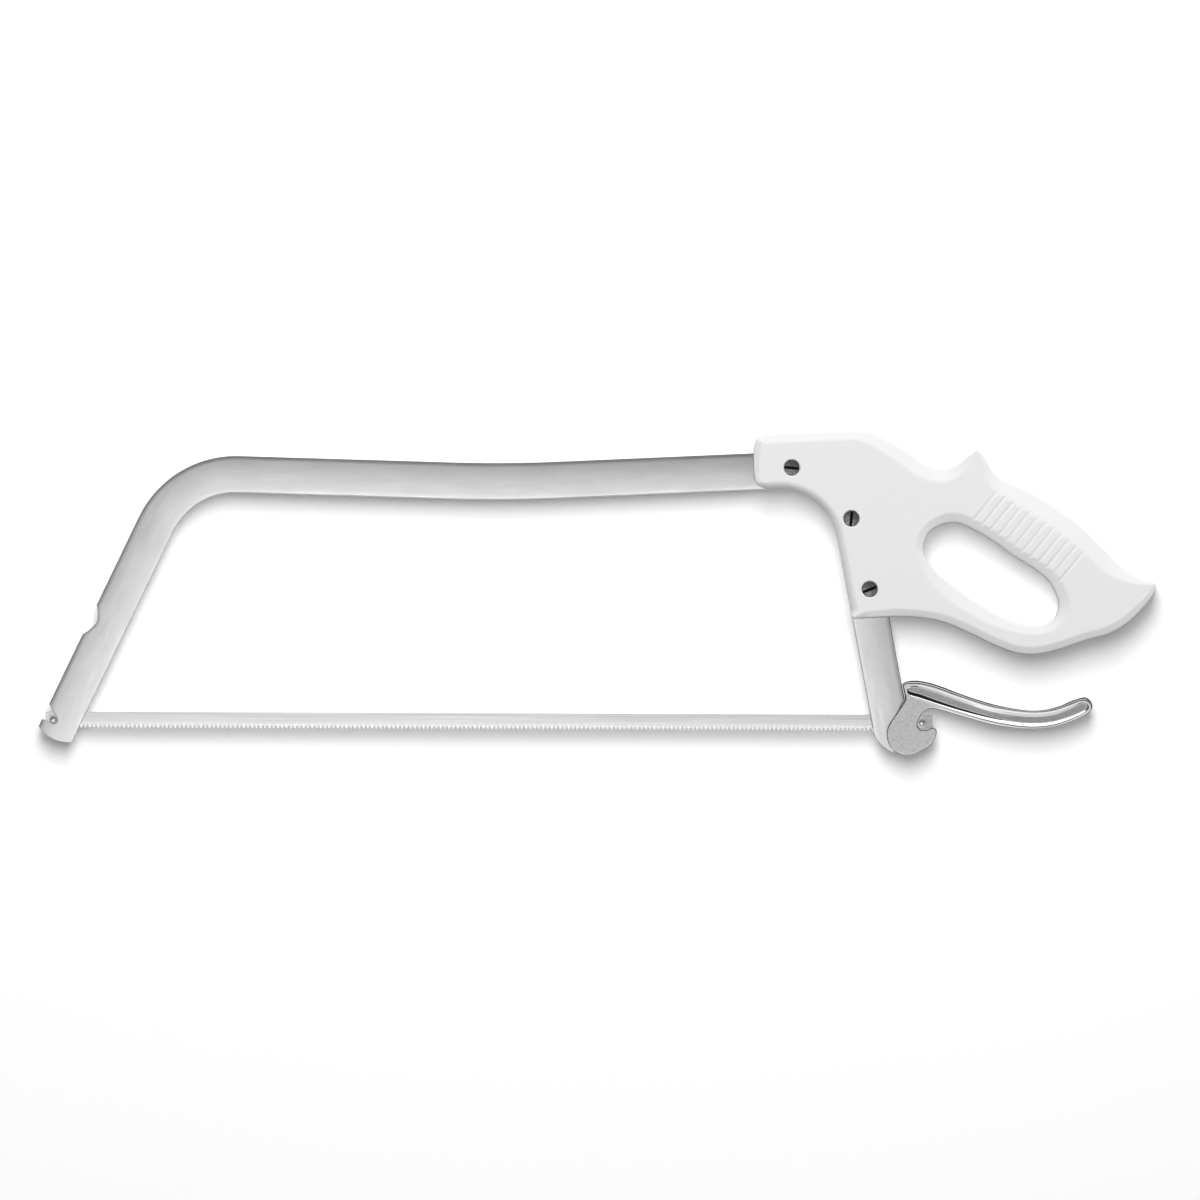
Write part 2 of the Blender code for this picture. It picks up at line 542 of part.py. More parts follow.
def make_handle_half(name, side, finish, parent):
    """One moulded half: rounded outside, flat at the joint, with a channel for the bar, grip grooves,
    counterbored screw holes, and locating pegs on the rear half that fit sockets in the front half."""
    bm = bmesh.new()
    joint = CLEARANCE / 2
    add_rounded_plate(bm, handle_loops(), joint, HANDLE_HALF, False)
    if side < 0:
        bmesh.ops.scale(bm, vec=(1.0, 1.0, -1.0), verts=bm.verts)
    half = make_object(name, bm, finish, parent)
    if side < 0:
        pegs = bmesh.new()
        for place in from_rear_corner(PEG_PLACES):
            reach = PEG_DIAMETER / 2
            add_turned(pegs, place, [(reach, -PEG_LENGTH), (reach, PEG_LENGTH - reach / 4), (reach * 0.75, PEG_LENGTH)], 16)
        boolean(half, pegs, "UNION")

    channel = bmesh.new()
    deep = BAR_THICKNESS / 2 + CLEARANCE
    outer = -HALF_BAR - CLEARANCE
    inner = HALF_BAR + BAR_SHOWS
    add_bar(channel, bar_path(), [(outer, -deep), (inner, -deep), (inner, deep), (outer, deep)])
    boolean(half, channel, "DIFFERENCE")

    holes = bmesh.new()
    bore = SLEEVE_DIAMETER / 2 + CLEARANCE
    seat = SCREW_HEAD_DIAMETER / 2 + CLEARANCE
    floor = HANDLE_HALF - SCREW_RECESS - SCREW_HEAD_HEIGHT - CLEARANCE
    for _, place, _ in screw_places():
        profile = [(bore, -joint), (bore, floor), (seat, floor), (seat, HANDLE_THICKNESS)]
        add_turned(holes, place, [(radius, side * height) for radius, height in profile])
    if side > 0:
        for place in from_rear_corner(PEG_PLACES):
            reach = PEG_DIAMETER / 2 + CLEARANCE
            add_turned(holes, place, [(reach, -joint), (reach, PEG_LENGTH + CLEARANCE)], 16)
    boolean(half, holes, "DIFFERENCE")

    grooves = bmesh.new()
    add_grooves(grooves, HANDLE_HALF, side)
    boolean(half, grooves, "DIFFERENCE")
    return half


def cut_slot(obj, place, turn, face, side):
    """A screwdriver slot across a head whose face lies at the given height."""
    bm = bmesh.new()
    along = Vector((math.cos(turn), math.sin(turn))) * SCREW_HEAD_DIAMETER
    across = Vector((-along.y, along.x)).normalized() * SCREW_SLOT_WIDTH / 2
    outline = [place - along - across, place + along - across, place + along + across, place - along + across]
    low, high = sorted((side * (face - SCREW_SLOT_DEPTH), side * (face + SCREW_SLOT_DEPTH)))
    add_prism(bm, outline, low, high)
    boolean(obj, bm, "DIFFERENCE")


def head_profile(side):
    """A fastener head from its rim at the joint side to its face, with a small chamfer at the face."""
    reach = SCREW_HEAD_DIAMETER / 2
    face = HANDLE_HALF - SCREW_RECESS
    chamfer = SCREW_HEAD_HEIGHT / 6
    profile = [(reach, face - SCREW_HEAD_HEIGHT), (reach, face - chamfer), (reach - chamfer, face)]
    return [(radius, side * height) for radius, height in profile]


def make_fasteners(finish, parent):
    """Three slotted screws from the front and the three slotted sleeve nuts that they turn into."""
    face = HANDLE_HALF - SCREW_RECESS
    under = face - SCREW_HEAD_HEIGHT
    shank = SCREW_SHANK_DIAMETER / 2
    bore = shank + CLEARANCE
    sleeve = SLEEVE_DIAMETER / 2
    blind = -under + SLEEVE_BLIND
    for name, place, turn in screw_places():
        bm = bmesh.new()
        add_turned(bm, place, [(shank, blind + SLEEVE_BLIND), (shank, under)] + head_profile(1))
        screw = make_object(f"handle_screw_{name}", bm, finish, parent)
        cut_slot(screw, place, turn, face, 1)
        bm = bmesh.new()
        walls = [(sleeve, -under), (sleeve, under - SLEEVE_END_GAP), (bore, under - SLEEVE_END_GAP), (bore, blind)]
        add_turned(bm, place, head_profile(-1)[::-1] + walls)
        nut = make_object(f"handle_sleeve_nut_{name}", bm, finish, parent)
        cut_slot(nut, place, turn, face, -1)


def make_blade(finish, parent):
    """The blade: a thin strip with a row of even teeth, and a hole near each end for its pin."""
    front, rear = -BLADE_FRONT_TAIL, BLADE_SPAN + BLADE_REAR_TAIL
    count = int((BLADE_SPAN - 2 * TOOTHLESS_END) / TOOTH_PITCH)
    start = (BLADE_SPAN - count * TOOTH_PITCH) / 2
    root = -BLADE_BELLY + TOOTH_DEPTH
    edge = [(front, root)]
    for index in range(count):
        edge.append((start + index * TOOTH_PITCH, root))
        edge.append((start + (index + 0.5) * TOOTH_PITCH, -BLADE_BELLY))
    edge += [(start + count * TOOTH_PITCH, root), (rear, root), (rear, BLADE_BACK), (front, BLADE_BACK)]
    bm = bmesh.new()
    add_prism(bm, edge, -BLADE_THICKNESS / 2, BLADE_THICKNESS / 2)
    blade = make_object("saw_blade", bm, finish, parent, FRONT_PIN)
    holes = bmesh.new()
    reach = PIN_NECK_DIAMETER / 2 + CLEARANCE
    for pin in (FRONT_PIN, REAR_PIN):
        add_turned(holes, pin, [(reach, -BLADE_THICKNESS), (reach, BLADE_THICKNESS)], 16)
    boolean(blade, holes, "DIFFERENCE")


def make_pins(finish, parent):
    """The two cross pins: riveted spools whose necks pass through the blade and whose ends are domed."""
    reach = PIN_DIAMETER / 2
    neck = PIN_NECK_DIAMETER / 2
    end = PIN_LENGTH / 2
    shoulder = BLADE_THICKNESS / 2 + CLEARANCE
    upper = [(neck, shoulder), (reach, shoulder), (reach, end - PIN_DOME), (reach * 0.7, end - PIN_DOME / 4), (reach * 0.3, end)]
    profile = [(radius, -height) for radius, height in upper[::-1]] + upper
    for name, place in (("blade_pin_front", FRONT_PIN), ("blade_pin_rear", REAR_PIN)):
        bm = bmesh.new()
        add_turned(bm, place, profile, 20)
        make_object(name, bm, finish, parent, FRONT_PIN)


def arm_sides(share):
    """The arm's lower and upper edges, as the spine moved out by a share of the half height."""
    spine = from_rear_pin(ARM_SPINE)
    way = tangents(spine, False)
    lower, upper = [], []
    for point, (tx, ty), (_, _, half) in zip(spine, way, ARM_SPINE):
        across = Vector((-ty, tx)) * half * MM * share
        lower.append(point - across)
        upper.append(point + across)
    return lower, upper


def lever_outline():
    """The lever seen from the side: shoulder and forked head, hook for the pin, and the long arm."""
    gap = CLEARANCE
    shoulder_foot = leg_back_corner(gap)
    shoulder_top = Vector((rear_leg_edge(LEVER_SHOULDER[-1][1] * MM, 1) + 2 * gap, (LEVER_SHOULDER[-1][1] - 1.7) * MM))
    centre = REAR_PIN + Vector((-HEAD_CENTRE_BACK, -HEAD_CENTRE_DROP))
    head = arc(centre, HEAD_RADIUS, HEAD_START_ANGLE, HEAD_END_ANGLE, 13)
    reach = PIN_DIAMETER / 2 + HOOK_SLACK
    bowl = arc(REAR_PIN + Vector(HOOK_CENTRE), reach, math.radians(285.0), math.radians(160.0), 5)
    lower, upper = arm_sides(1.0)
    points = [shoulder_top, (shoulder_top + shoulder_foot) / 2, shoulder_foot] + head + from_rear_pin(LEVER_HOOK)
    points += bowl + from_rear_pin(LEVER_HOOK_ROOF) + lower + from_rear_pin(ARM_TIP) + upper[::-1]
    points += from_rear_pin(LEVER_SHOULDER)
    return smooth_loop(points, [LEVER_EDGE_RADIUS] * len(points), math.radians(10.0), 9.0 * MM)


def make_lever(finish, parent):
    """The tension lever: an arm with a sunk panel on each face and a head that forks round the rear leg."""
    bm = bmesh.new()
    points, radii = lever_outline()
    add_rounded_plate(bm, [(points, radii)], -LEVER_HALF, LEVER_HALF, True, 2)
    lever = make_object("tension_lever", bm, finish, parent, LEVER_AXIS)
    deep = BAR_THICKNESS / 2 + CLEARANCE
    clear_angle = SEAT_END_ANGLE + LEVER_SWING + HOOK_CLEAR_SWING
    fork = seat_outline(HUB_RADIUS, leg_back_corner(CLEARANCE), clear_angle)
    fork[0] = fork[0] + (fork[0] - fork[1]).normalized() * 2 * CHEEK_THICKNESS
    out = Vector((math.cos(clear_angle), math.sin(clear_angle)))
    down = Vector((0.0, -LEG_OVERRUN))
    left = Vector((-LEG_OVERRUN, 0.0))
    ring = fork + [LEVER_AXIS + out * LEG_OVERRUN, LEVER_AXIS + down, LEVER_AXIS + down + left, fork[0] + left]
    cut_lever(lever, ring, -deep, deep)
    cut_lever(lever, blade_sweep(), -BLADE_SLOT / 2, BLADE_SLOT / 2)
    cut_lever(lever, panel_outline(), LEVER_HALF - PANEL_DEPTH, LEVER_HALF * 2)
    cut_lever(lever, panel_outline(), -LEVER_HALF * 2, PANEL_DEPTH - LEVER_HALF)


def cut_lever(lever, outline, low, high):
    """Cuts an outline of the saw's plane out of the lever between two heights."""
    bm = bmesh.new()
    add_prism(bm, [Vector(point) - LEVER_AXIS for point in outline], low, high)
    boolean(lever, bm, "DIFFERENCE")


def panel_outline():
    """The sunk panel of the arm: a share of the arm's height, ended square at the head and round at the tip."""
    lower, upper = arm_sides(PANEL_SHARE)
    return lower + from_rear_pin(PANEL_TIP) + upper[::-1] + from_rear_pin(PANEL_HEAD)


def blade_sweep():
    """The part of the lever's middle plane that the blade passes through as the lever swings."""
    top = BLADE_BACK + 2 * CLEARANCE
    x = REAR_PIN.x
    step = x - BLADE_TAIL_SWEEP_BACK
    right = x + BLADE_REAR_TAIL + BLADE_BACK
    return [
        (x - LEG_OVERRUN, -LEG_OVERRUN), (right, -LEG_OVERRUN), (right, BLADE_TAIL_SWEEP),
        (step, BLADE_TAIL_SWEEP), (step, top), (x - LEG_OVERRUN, top),
    ]


def add_empty(name, parent, place):
    """An empty that carries the pieces parented to it."""
    empty = bpy.data.objects.new(name, None)
    bpy.context.scene.collection.objects.link(empty)
    empty.parent = parent
    empty.location = place
    return empty


def main():
    for obj in list(bpy.data.objects):
        bpy.data.objects.remove(obj)
    white = make_finish(*WHITE_POLYPROPYLENE)
    stainless = make_finish(*BRUSHED_STAINLESS)
    blade_steel = make_finish(*BLADE_STEEL)
    nickel = make_finish(*NICKEL_PLATE)
    dark_steel = make_finish(*DARK_STEEL)

    saw = add_empty("saw", None, (0.0, 0.0, 0.0))
    lever_axis = add_empty("lever_axis", saw, (LEVER_AXIS.x, LEVER_AXIS.y, 0.0))
    blade_axis = add_empty("blade_axis", saw, (FRONT_PIN.x, FRONT_PIN.y, 0.0))
    make_bow(stainless, saw)
    make_handle_half("handle_front_half", 1, white, saw)
    make_handle_half("handle_rear_half", -1, white, saw)
    make_fasteners(dark_steel, saw)
    make_blade(blade_steel, blade_axis)
    make_pins(blade_steel, blade_axis)
    make_lever(nickel, lever_axis)

    # The saw lies on the flat of its handle, with the middle of its footprint at the origin.
    bpy.context.view_layer.update()
    meshes = [obj for obj in bpy.data.objects if obj.type == "MESH"]
    corners = np.array([obj.matrix_world @ Vector(corner) for obj in meshes for corner in obj.bound_box])
    middle = (corners.min(axis=0) + corners.max(axis=0)) / 2
    saw.location = (-middle[0], -middle[1], HANDLE_HALF)


main()
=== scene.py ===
"""Butcher saw: the visible pieces, their finishes and the studio that they lie in.

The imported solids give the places: the front blade pin, the rear blade pin and the lever's axis. Every
piece is drawn in the saw's own plane, in millimetres from one of those, and set in the row frame.
"""

import json
import math

import bpy
import numpy as np
from bpy.props import FloatProperty, FloatVectorProperty, IntProperty, PointerProperty, StringProperty
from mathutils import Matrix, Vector
from mathutils.geometry import tessellate_polygon

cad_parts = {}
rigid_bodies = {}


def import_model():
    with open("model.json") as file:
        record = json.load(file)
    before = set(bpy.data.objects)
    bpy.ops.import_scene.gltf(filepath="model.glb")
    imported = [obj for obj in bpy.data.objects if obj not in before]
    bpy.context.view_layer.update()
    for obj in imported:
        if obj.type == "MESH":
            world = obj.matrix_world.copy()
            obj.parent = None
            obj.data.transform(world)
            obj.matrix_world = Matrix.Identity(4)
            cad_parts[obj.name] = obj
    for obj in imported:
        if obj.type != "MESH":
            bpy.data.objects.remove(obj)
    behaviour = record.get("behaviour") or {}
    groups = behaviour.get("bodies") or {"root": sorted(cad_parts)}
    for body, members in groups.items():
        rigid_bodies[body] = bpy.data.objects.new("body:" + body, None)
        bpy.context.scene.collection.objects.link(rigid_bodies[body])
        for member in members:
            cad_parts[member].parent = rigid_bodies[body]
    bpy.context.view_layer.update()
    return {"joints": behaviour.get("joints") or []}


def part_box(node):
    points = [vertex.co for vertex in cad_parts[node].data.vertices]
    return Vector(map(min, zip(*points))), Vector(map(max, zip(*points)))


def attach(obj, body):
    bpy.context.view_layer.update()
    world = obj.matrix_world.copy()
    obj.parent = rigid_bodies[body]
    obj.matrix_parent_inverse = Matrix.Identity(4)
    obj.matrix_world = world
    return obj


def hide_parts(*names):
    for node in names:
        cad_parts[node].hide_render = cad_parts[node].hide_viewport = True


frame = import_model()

bl_info = {
    "name": "Butcher Saw",
    "version": (1, 0, 0),
    "blender": (4, 5, 0),
    "location": "View3D > Sidebar > Saw",
    "description": "Builds a butcher saw with a bow, a moulded grip, a toothed blade and a tension lever",
    "category": "Object",
}

MM = 0.001
CURVE_SAMPLES = 40
LEAST_POINTS = 8
JOINTS = {joint["name"]: joint for joint in frame["joints"]}
FRONT_PIN = np.array(JOINTS["blade_slack"]["pos_m"])
LEVER_AXIS = np.array(JOINTS["lever_pivot"]["pos_m"])
REAR_PIN = np.array([sum(pair) / 2 for pair in zip(*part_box("blade_pin_rear"))])
SPAN = (REAR_PIN[0] - FRONT_PIN[0]) / MM
MIDDLE = FRONT_PIN[2]
LEVER_SWING = math.radians(JOINTS["lever_pivot"]["range_deg"][1])

# Bow, in millimetres and degrees; the hook's flank, the seat and the toe are stations along the bar, from the
# pin or from the rear foot, with offsets across it
FRONT_LEAN = math.radians(25.4)
FRONT_HEIGHT = 144.5
FRONT_FOOT = np.array([5.4, 0.0])
FRONT_CORNER = FRONT_FOOT + np.array([FRONT_HEIGHT * math.tan(FRONT_LEAN), FRONT_HEIGHT])
DIP = np.array([SPAN - 244.4, 139.5])
REAR_LEAN = math.radians(10.8)
REAR_HEIGHT = 148.8
REAR_SETBACK = 18.8
REAR_FOOT = np.array([SPAN - REAR_SETBACK, 0.0])
REAR_CORNER = REAR_FOOT + np.array([-REAR_HEIGHT * math.tan(REAR_LEAN), REAR_HEIGHT])
BENDS = (52.0, 900.0, 45.0)
HALF_BAR = 10.75
NARROW_EDGE = 0.45
FOOT_OVERRUN = 30.0
FRONT_END = 12.6
FRONT_END_RADIUS = 19.6
FRONT_END_BLEND = 6.0
HOOK_RADIUS = 2.4
HOOK_FLANK = (1.94, 1.41)
HOOK_FLANK_RUN = 0.728
HOOK_LIP_WALL = 0.12
SIDE_NOTCH = (
    (50.2, 0.0), (53.1, 1.9), (58.3, 4.2), (59.4, 4.4), (60.8, 4.4), (62.0, 4.1), (64.6, 3.0), (69.3, 0.0),
)
SEAT_RADIUS = 7.8
SEAT_AXIS = (4.98, 8.52)
SEAT_BACK = ((-12.5, HALF_BAR), (0.68, 2.01), (11.07, 3.65), (17.6, -1.63))
TOE_CENTRE = (1.15, 7.25)
TOE_RADIUS = 18.0
TOE_TIP = ((14.1, -5.30), (17.6, -1.63))
FRONT_SLOT = 11.5
REAR_SLOT = 8.0
BLADE_SLOT = 0.6
CUT_EDGE = 0.4
RUN_POINTS = 400
BEND_POINTS = 120
FOOT_STEP = 0.4
TOP_STEP = 1.6
TOP_END = 20.0
REAR_STATIONS = (-16.0, 17.2, 150)

# Handle, in millimetres from the bow's rear corner, with the width of the edge's bevel at each point and the
# turn of each screw's slot in degrees; a bevel's round share, levelling and steps are parts of its width or
# run, and a groove's spread is in half widths
HANDLE_LEG_REACH = 87.8
HANDLE_BAR_REACH = 44.0
BAR_SHOWS = 0.1
HANDLE_POINTS = (
    (14.1, -87.8, 4.2), (32.2, -86.9, 5.2), (47.0, -87.7, 5.2), (58.5, -89.9, 5.2), (68.7, -93.8, 5.2),
    (91.3, -104.3, 5.2), (101.8, -107.9, 5.2), (110.9, -108.8, 5.2), (118.8, -107.8, 5.2),
    (128.7, -105.0, 5.2), (142.1, -100.4, 5.2), (154.9, -96.8, 5.2), (166.0, -90.6, 5.0),
    (174.8, -82.1, 4.2), (180.6, -74.8, 3.1), (183.1, -68.9, 2.0),
    (182.6, -66.5, 1.7), (175.9, -64.7, 3.4), (168.3, -60.7, 7.0), (160.0, -54.1, 10.5),
    (150.7, -44.5, 11.9), (140.7, -34.9, 12.6), (129.3, -26.2, 12.6), (117.2, -17.9, 12.6),
    (104.1, -10.9, 11.9), (92.1, -5.8, 9.1), (87.4, -1.8, 5.6), (84.4, 3.8, 3.4), (81.8, 7.8, 2.2),
    (78.7, 10.6, 1.3), (73.7, 7.4, 3.1), (68.1, 3.0, 6.3), (61.5, 0.4, 9.1), (53.5, 0.7, 9.8),
    (46.7, 3.6, 9.8), (38.5, 9.4, 9.8), (28.9, 15.1, 9.2), (17.2, 20.5, 7.8), (8.4, 21.9, 6.5),
    (-5.6, 21.5, 6.5), (-19.1, 20.9, 6.5), (-45.6, 18.8, 5.6), (-50.0, 16.9, 3.6),
    (-51.8, 11.0, 4.2), (-51.7, -5.0, 3.4), (-50.2, -9.6, 2.5),
)
FINGER_HOLE = (
    (47.0, -47.2, 5.0), (50.1, -38.2, 5.2), (54.2, -34.9, 5.8), (62.2, -32.0, 6.6), (68.8, -32.5, 6.6),
    (76.4, -35.9, 6.6), (87.9, -42.6, 6.6), (99.8, -51.1, 6.6), (112.7, -59.2, 6.6),
    (120.9, -66.2, 7.0), (125.4, -75.0, 7.5), (126.4, -79.1, 7.5), (125.1, -85.5, 6.8),
    (120.7, -89.8, 6.0), (116.1, -91.5, 5.8), (107.6, -91.3, 6.2), (97.1, -88.4, 7.0),
    (88.0, -84.2, 8.0), (76.5, -77.1, 9.0), (65.0, -68.9, 9.4), (56.0, -61.7, 8.2), (50.0, -54.9, 6.0),
)
SCREWS = {"bar": (-29.8, -0.2, 175.0), "bend": (5.1, -29.8, 84.0), "leg": (16.0, -71.0, 22.0)}
FIRST_GROOVE = np.array([84.3, -21.0])
LAST_GROOVE = np.array([135.4, -55.7])
GROOVE_ANGLE = math.radians(50.0)
GROOVE_HALF = 17.0
GROOVE_START = 0.8
GROOVE_LIFT = 4.0
GROOVE_SPREAD = 1.25
BEVEL_TILT = math.radians(17.0)
THROAT_TILT = math.radians(38.0)
THROAT_WIDTH = 5.0
THROAT_FOOT_WIDTH = 1.5
THROAT_POINTS = 26
BEVEL_ROUND = 1.3
BEVEL_ROUND_SHARE = 0.35
BEVEL_LEVELLING = 0.3
THROAT_LEVELLING = 0.95
BEVEL_STEPS = (0.3, 0.7, 1.0)
CHEEK_INSET = 0.05
HANDLE_STEP = 0.9
JOINT_GAP = 0.15
CHANNEL_HALF = 3.3
CHANNEL_BACK = 11.05
CHANNEL_FRONT = HALF_BAR + 6.0
CHANNEL_START = SPAN * 0.6
CHANNEL_STATIONS = 240

# Screws and sleeve nuts, in millimetres
HEAD_HEIGHT = 2.4
HEAD_ROUND = 0.45
HEAD_CROWN = 0.35
HEAD_PLAY = 0.2
SEAT_DEPTH = 2.7
COUNTERSINK = 0.6
BORE_RADIUS = 3.6
BORE_FOOT = -1.0
MOUTH_CLEAR = 4.0
SHANK_RADIUS = 2.3
SHANK_END = -7.2
SLEEVE_RADIUS = 3.3
SLEEVE_BORE = 2.6
SLEEVE_BLIND = 1.5
SLEEVE_GAP = 1.2
SLOT_DEPTH = 1.1
SLOT_LIP = 0.3
SLOT_LIP_FOOT = -0.1
SLOT_CLEAR = 2.0

# Blade and pins, in millimetres; a tooth's corners and roots are shares of its pitch and depth, and rows,
# thinning and a tooth's thicknesses are shares of the blade's height and thickness
BLADE_BACK = 4.6
BLADE_BELLY = 4.7
BLADE_FRONT_TAIL = 4.2
BLADE_REAR_TAIL = 6.1
TOOTHLESS_END = 12.0
TOOTH_CORNERS = (0.0, 0.12, 0.43, 0.57, 0.88)
TOOTH_ROOTS = (1.0, 1.0, 0.0, 0.0, 1.0)
TOOTH_SET = (0.0, 0.0, 0.12, 0.12, 0.0)
TOOTH_TIP_THICKNESS = 0.1
TOOTH_ROOT_THICKNESS = 0.95
GULLET_RIM = 0.3
BLADE_ROWS = (0.0, 0.012, 0.35, 0.7, 1.0)
BLADE_THINNING = (0.7, 1.0, 1.0, 1.0, TOOTH_ROOT_THICKNESS)
# The blade's painted sheen grows from its back down to this line, standing in for the teeth's brighter
# reflection
TOOTH_SHEEN_LINE = 4.3
# Painted shade at the blade's rear end fades in between these distances from the rear pin, inside the lever's
# hook
REAR_END_PAINTED_SHADE = (-1.0, 2.0)
HOLE_REACH = 2.0
PIN_HOLE = 1.5
PIN_NECK = 1.2
PIN_SHOULDER = 0.6
PIN_END = 4.0
PIN_RIM = 0.35
PIN_RIM_FALL = 0.7
PIN_RIM_RISE = 0.3
PIN_DOME = 0.6

# Lever, in millimetres from the rear pin; the panel's floor has the widths of its wall's steep foot and of
# the slope above that at each point
HUB_RADIUS = 7.5
HEAD_CENTRE = np.array([-8.7, -6.8])
HEAD_RADIUS = 12.3
HEAD_TURN = (146.0, 306.0)
LEVER_HOOK = ((3.2, -14.2), (6.4, -11.0), (8.3, -6.9), (8.4, -4.4), (7.0, -2.9), (5.2, -3.1), (3.6, -3.8))
HOOK_CENTRE = np.array([0.8, -0.6])
HOOK_BOWL = 3.7
BOWL_TURN = (285.0, 160.0)
HOOK_ROOF = ((-1.7, 2.6), (-0.7, 4.9), (0.9, 6.8), (3.2, 8.1), (5.6, 8.3))
ARM_SPINE = (
    (10.0, 14.5, 6.9), (18.0, 11.75, 6.55), (30.0, 7.95, 6.25), (42.0, 4.65, 6.15), (54.0, 2.75, 5.75),
    (64.0, 2.1, 5.4), (74.0, 3.0, 5.4), (83.0, 5.4, 5.6), (90.0, 8.3, 5.7),
)
ARM_TIP = ((96.8, 5.7), (99.4, 8.9), (98.6, 12.9), (95.3, 15.3))
SHOULDER = ((2.7, 23.9), (-3.9, 24.8), (-8.6, 24.4))
PANEL_FLOOR = (
    (-7.6, 18.5, 1.6, 0.3), (-0.8, 16.5, 2.0, 0.35), (7.2, 13.6, 1.7, 0.4), (14.2, 11.2, 1.5, 0.6),
    (22.2, 8.6, 1.2, 0.85), (30.0, 6.3, 1.0, 1.1), (36.6, 4.5, 0.75, 1.35), (46.0, 2.3, 0.4, 1.55),
    (57.0, 0.45, 0.15, 1.6), (67.0, 0.05, 0.15, 1.55), (76.0, 1.0, 0.15, 1.4), (81.0, 2.3, 0.15, 1.3),
    (88.0, 4.7, 0.15, 1.1), (93.5, 7.2, 0.15, 0.9), (95.8, 8.7, 0.1, 0.8), (96.4, 9.9, 0.05, 0.75),
    (95.4, 11.3, 0.02, 0.75), (93.2, 11.6, 0.02, 0.85), (86.0, 8.4, 0.02, 1.25), (77.0, 5.2, 0.02, 1.4),
    (66.0, 3.9, 0.02, 1.45), (57.0, 4.4, 0.02, 1.45), (44.2, 6.2, 0.02, 1.5), (36.6, 7.95, 0.02, 1.5),
    (22.1, 12.8, 0.02, 1.35), (14.0, 15.7, 0.02, 1.25), (7.8, 17.9, 0.02, 1.15), (-0.8, 20.4, 0.02, 1.05),
    (-5.5, 21.1, 0.02, 0.7), (-7.7, 20.9, 0.15, 0.35), (-8.3, 20.0, 0.3, 0.25), (-8.3, 19.2, 0.8, 0.25),
)
WALL_TILT = math.radians(29.0)
WALL_FOOT = 0.15
WALL_SHARES = (0.8, 0.2, 0.0)
CREST_SHARE = 0.5
ROOT_UPPER_SHARE = 0.45
PANEL_BRIM = 0.1
FLOOR_INSET = 0.3
FACE_INSET = 0.03
OUTLINE_STEP = 0.55
PANEL_STEP = 0.7
SEAT_TOP = 14.3
SEAT_GAP = 0.3
SHOULDER_TOP = 22.7
SHOULDER_GAP = 0.6
ARM_ROUNDING = 0.5
ARM_TOP_ROUNDING = 0.7
ARM_START = -14.0
ARM_RAMP = 8.0
HOOK_REACH = 9.0
HOOK_RAMP = 4.0
RIM_ROOM = 0.4
SIDE_FOOT = 0.05
FORK_HALF = 3.3
FORK_RUN = 3.8
FORK_CLEAR = 4.0
SEAT_END = 242.0
FAR = 40.0
BLADE_SWEEP = ((-FAR, -FAR), (10.7, -FAR), (10.7, 11.9), (-4.5, 11.9), (-4.5, 5.2), (-FAR, 5.2))
MATT_START = np.array([-8.0, 15.5])
MATT_WAY = np.array([-0.42, -1.0])
MATT_BLEND = 0.3

# Angles in degrees past which faces meet in a sharp edge
CREASE = 35.0
BOW_CREASE = 40.0
FINE_CREASE = 30.0
TOOTH_CREASE = 25.0

# Finishes and stage, in metres, with the camera's sensor in millimetres; a noise's values run mostly between
# its ends, given as a Map Range's inputs
# Painted shade mixed into the bow's steep edges, which stand in for the dark surround that they mirror
BOW_EDGE_PAINTED_SHADE = "#404040"
# Painted shade mixed into the lever's steep sides, which stand in for the dark surround that they mirror
LEVER_SIDE_PAINTED_SHADE = "#3C3C3C"
# Painted shade, near black, in the screw slots
SLOT_PAINTED_SHADE = "#161616"
WHITE = "#FFFFFF"
NOISE_ENDS = {1: 0.3, 2: 0.7}
# Depths below the heads' faces between which the slots' painted shade gives way to the steel
SLOT_SHADE_DEPTHS = (0.0007, 0.0003)
FLOOR_HALF = 4.0
FLOOR_DROP = 0.0001
SENSOR = 36.0
CAMERA_REACH = 100.0


def length_setting(name, description, default):
    """A length that a user may change."""
    return FloatProperty(name=name, description=description, default=default, unit="LENGTH")


def colour_setting(name, surface, default):
    """A colour that a user may change."""
    return StringProperty(name=name, description=f"sRGB colour of the {surface}", default=default)


def power_setting(name, light, default):
    """The power of a light that a user may change."""
    return FloatProperty(name=name, description=f"Power of the {light}", default=default, unit="POWER")


def brightness_setting(name, description, default):
    """A brightness that a user may change."""
    return FloatProperty(name=name, description=description, default=default, min=0.0)


class SawBow(bpy.types.PropertyGroup):
    """Sizes and colour of the bow."""

    thickness: length_setting("Bar thickness", "Thickness of the flat bar", 0.006)
    edge: length_setting("Edge rounding", "Radius of the bar's long edges", 0.0009)
    crown: length_setting("Crown", "How far the bar's faces swell in the middle", 0.00028)
    colour: colour_setting("Steel", "stainless steel", "#C4C4C4")


class SawHandle(bpy.types.PropertyGroup):
    """Sizes and colour of the handle."""

    thickness: length_setting("Thickness", "Over both halves", 0.026)
    grooves: IntProperty(name="Grooves", description="Grip grooves on each face", default=12, min=0)
    groove_width: length_setting("Groove width", "Width of a groove at the face", 0.0024)
    groove_depth: length_setting("Groove depth", "Depth of a groove", 0.00048)
    colour: colour_setting("Plastic", "plastic", "#CACACA")


class SawFasteners(bpy.types.PropertyGroup):
    """Sizes and colour of the handle's screws and sleeve nuts."""

    head: length_setting("Head diameter", "Diameter of a head", 0.0088)
    recess: length_setting("Recess", "How far a head lies below the handle's face", 0.0004)
    slot: length_setting("Slot width", "Width of the screwdriver slot", 0.0013)
    colour: colour_setting("Steel", "dark steel", "#7C7C7A")


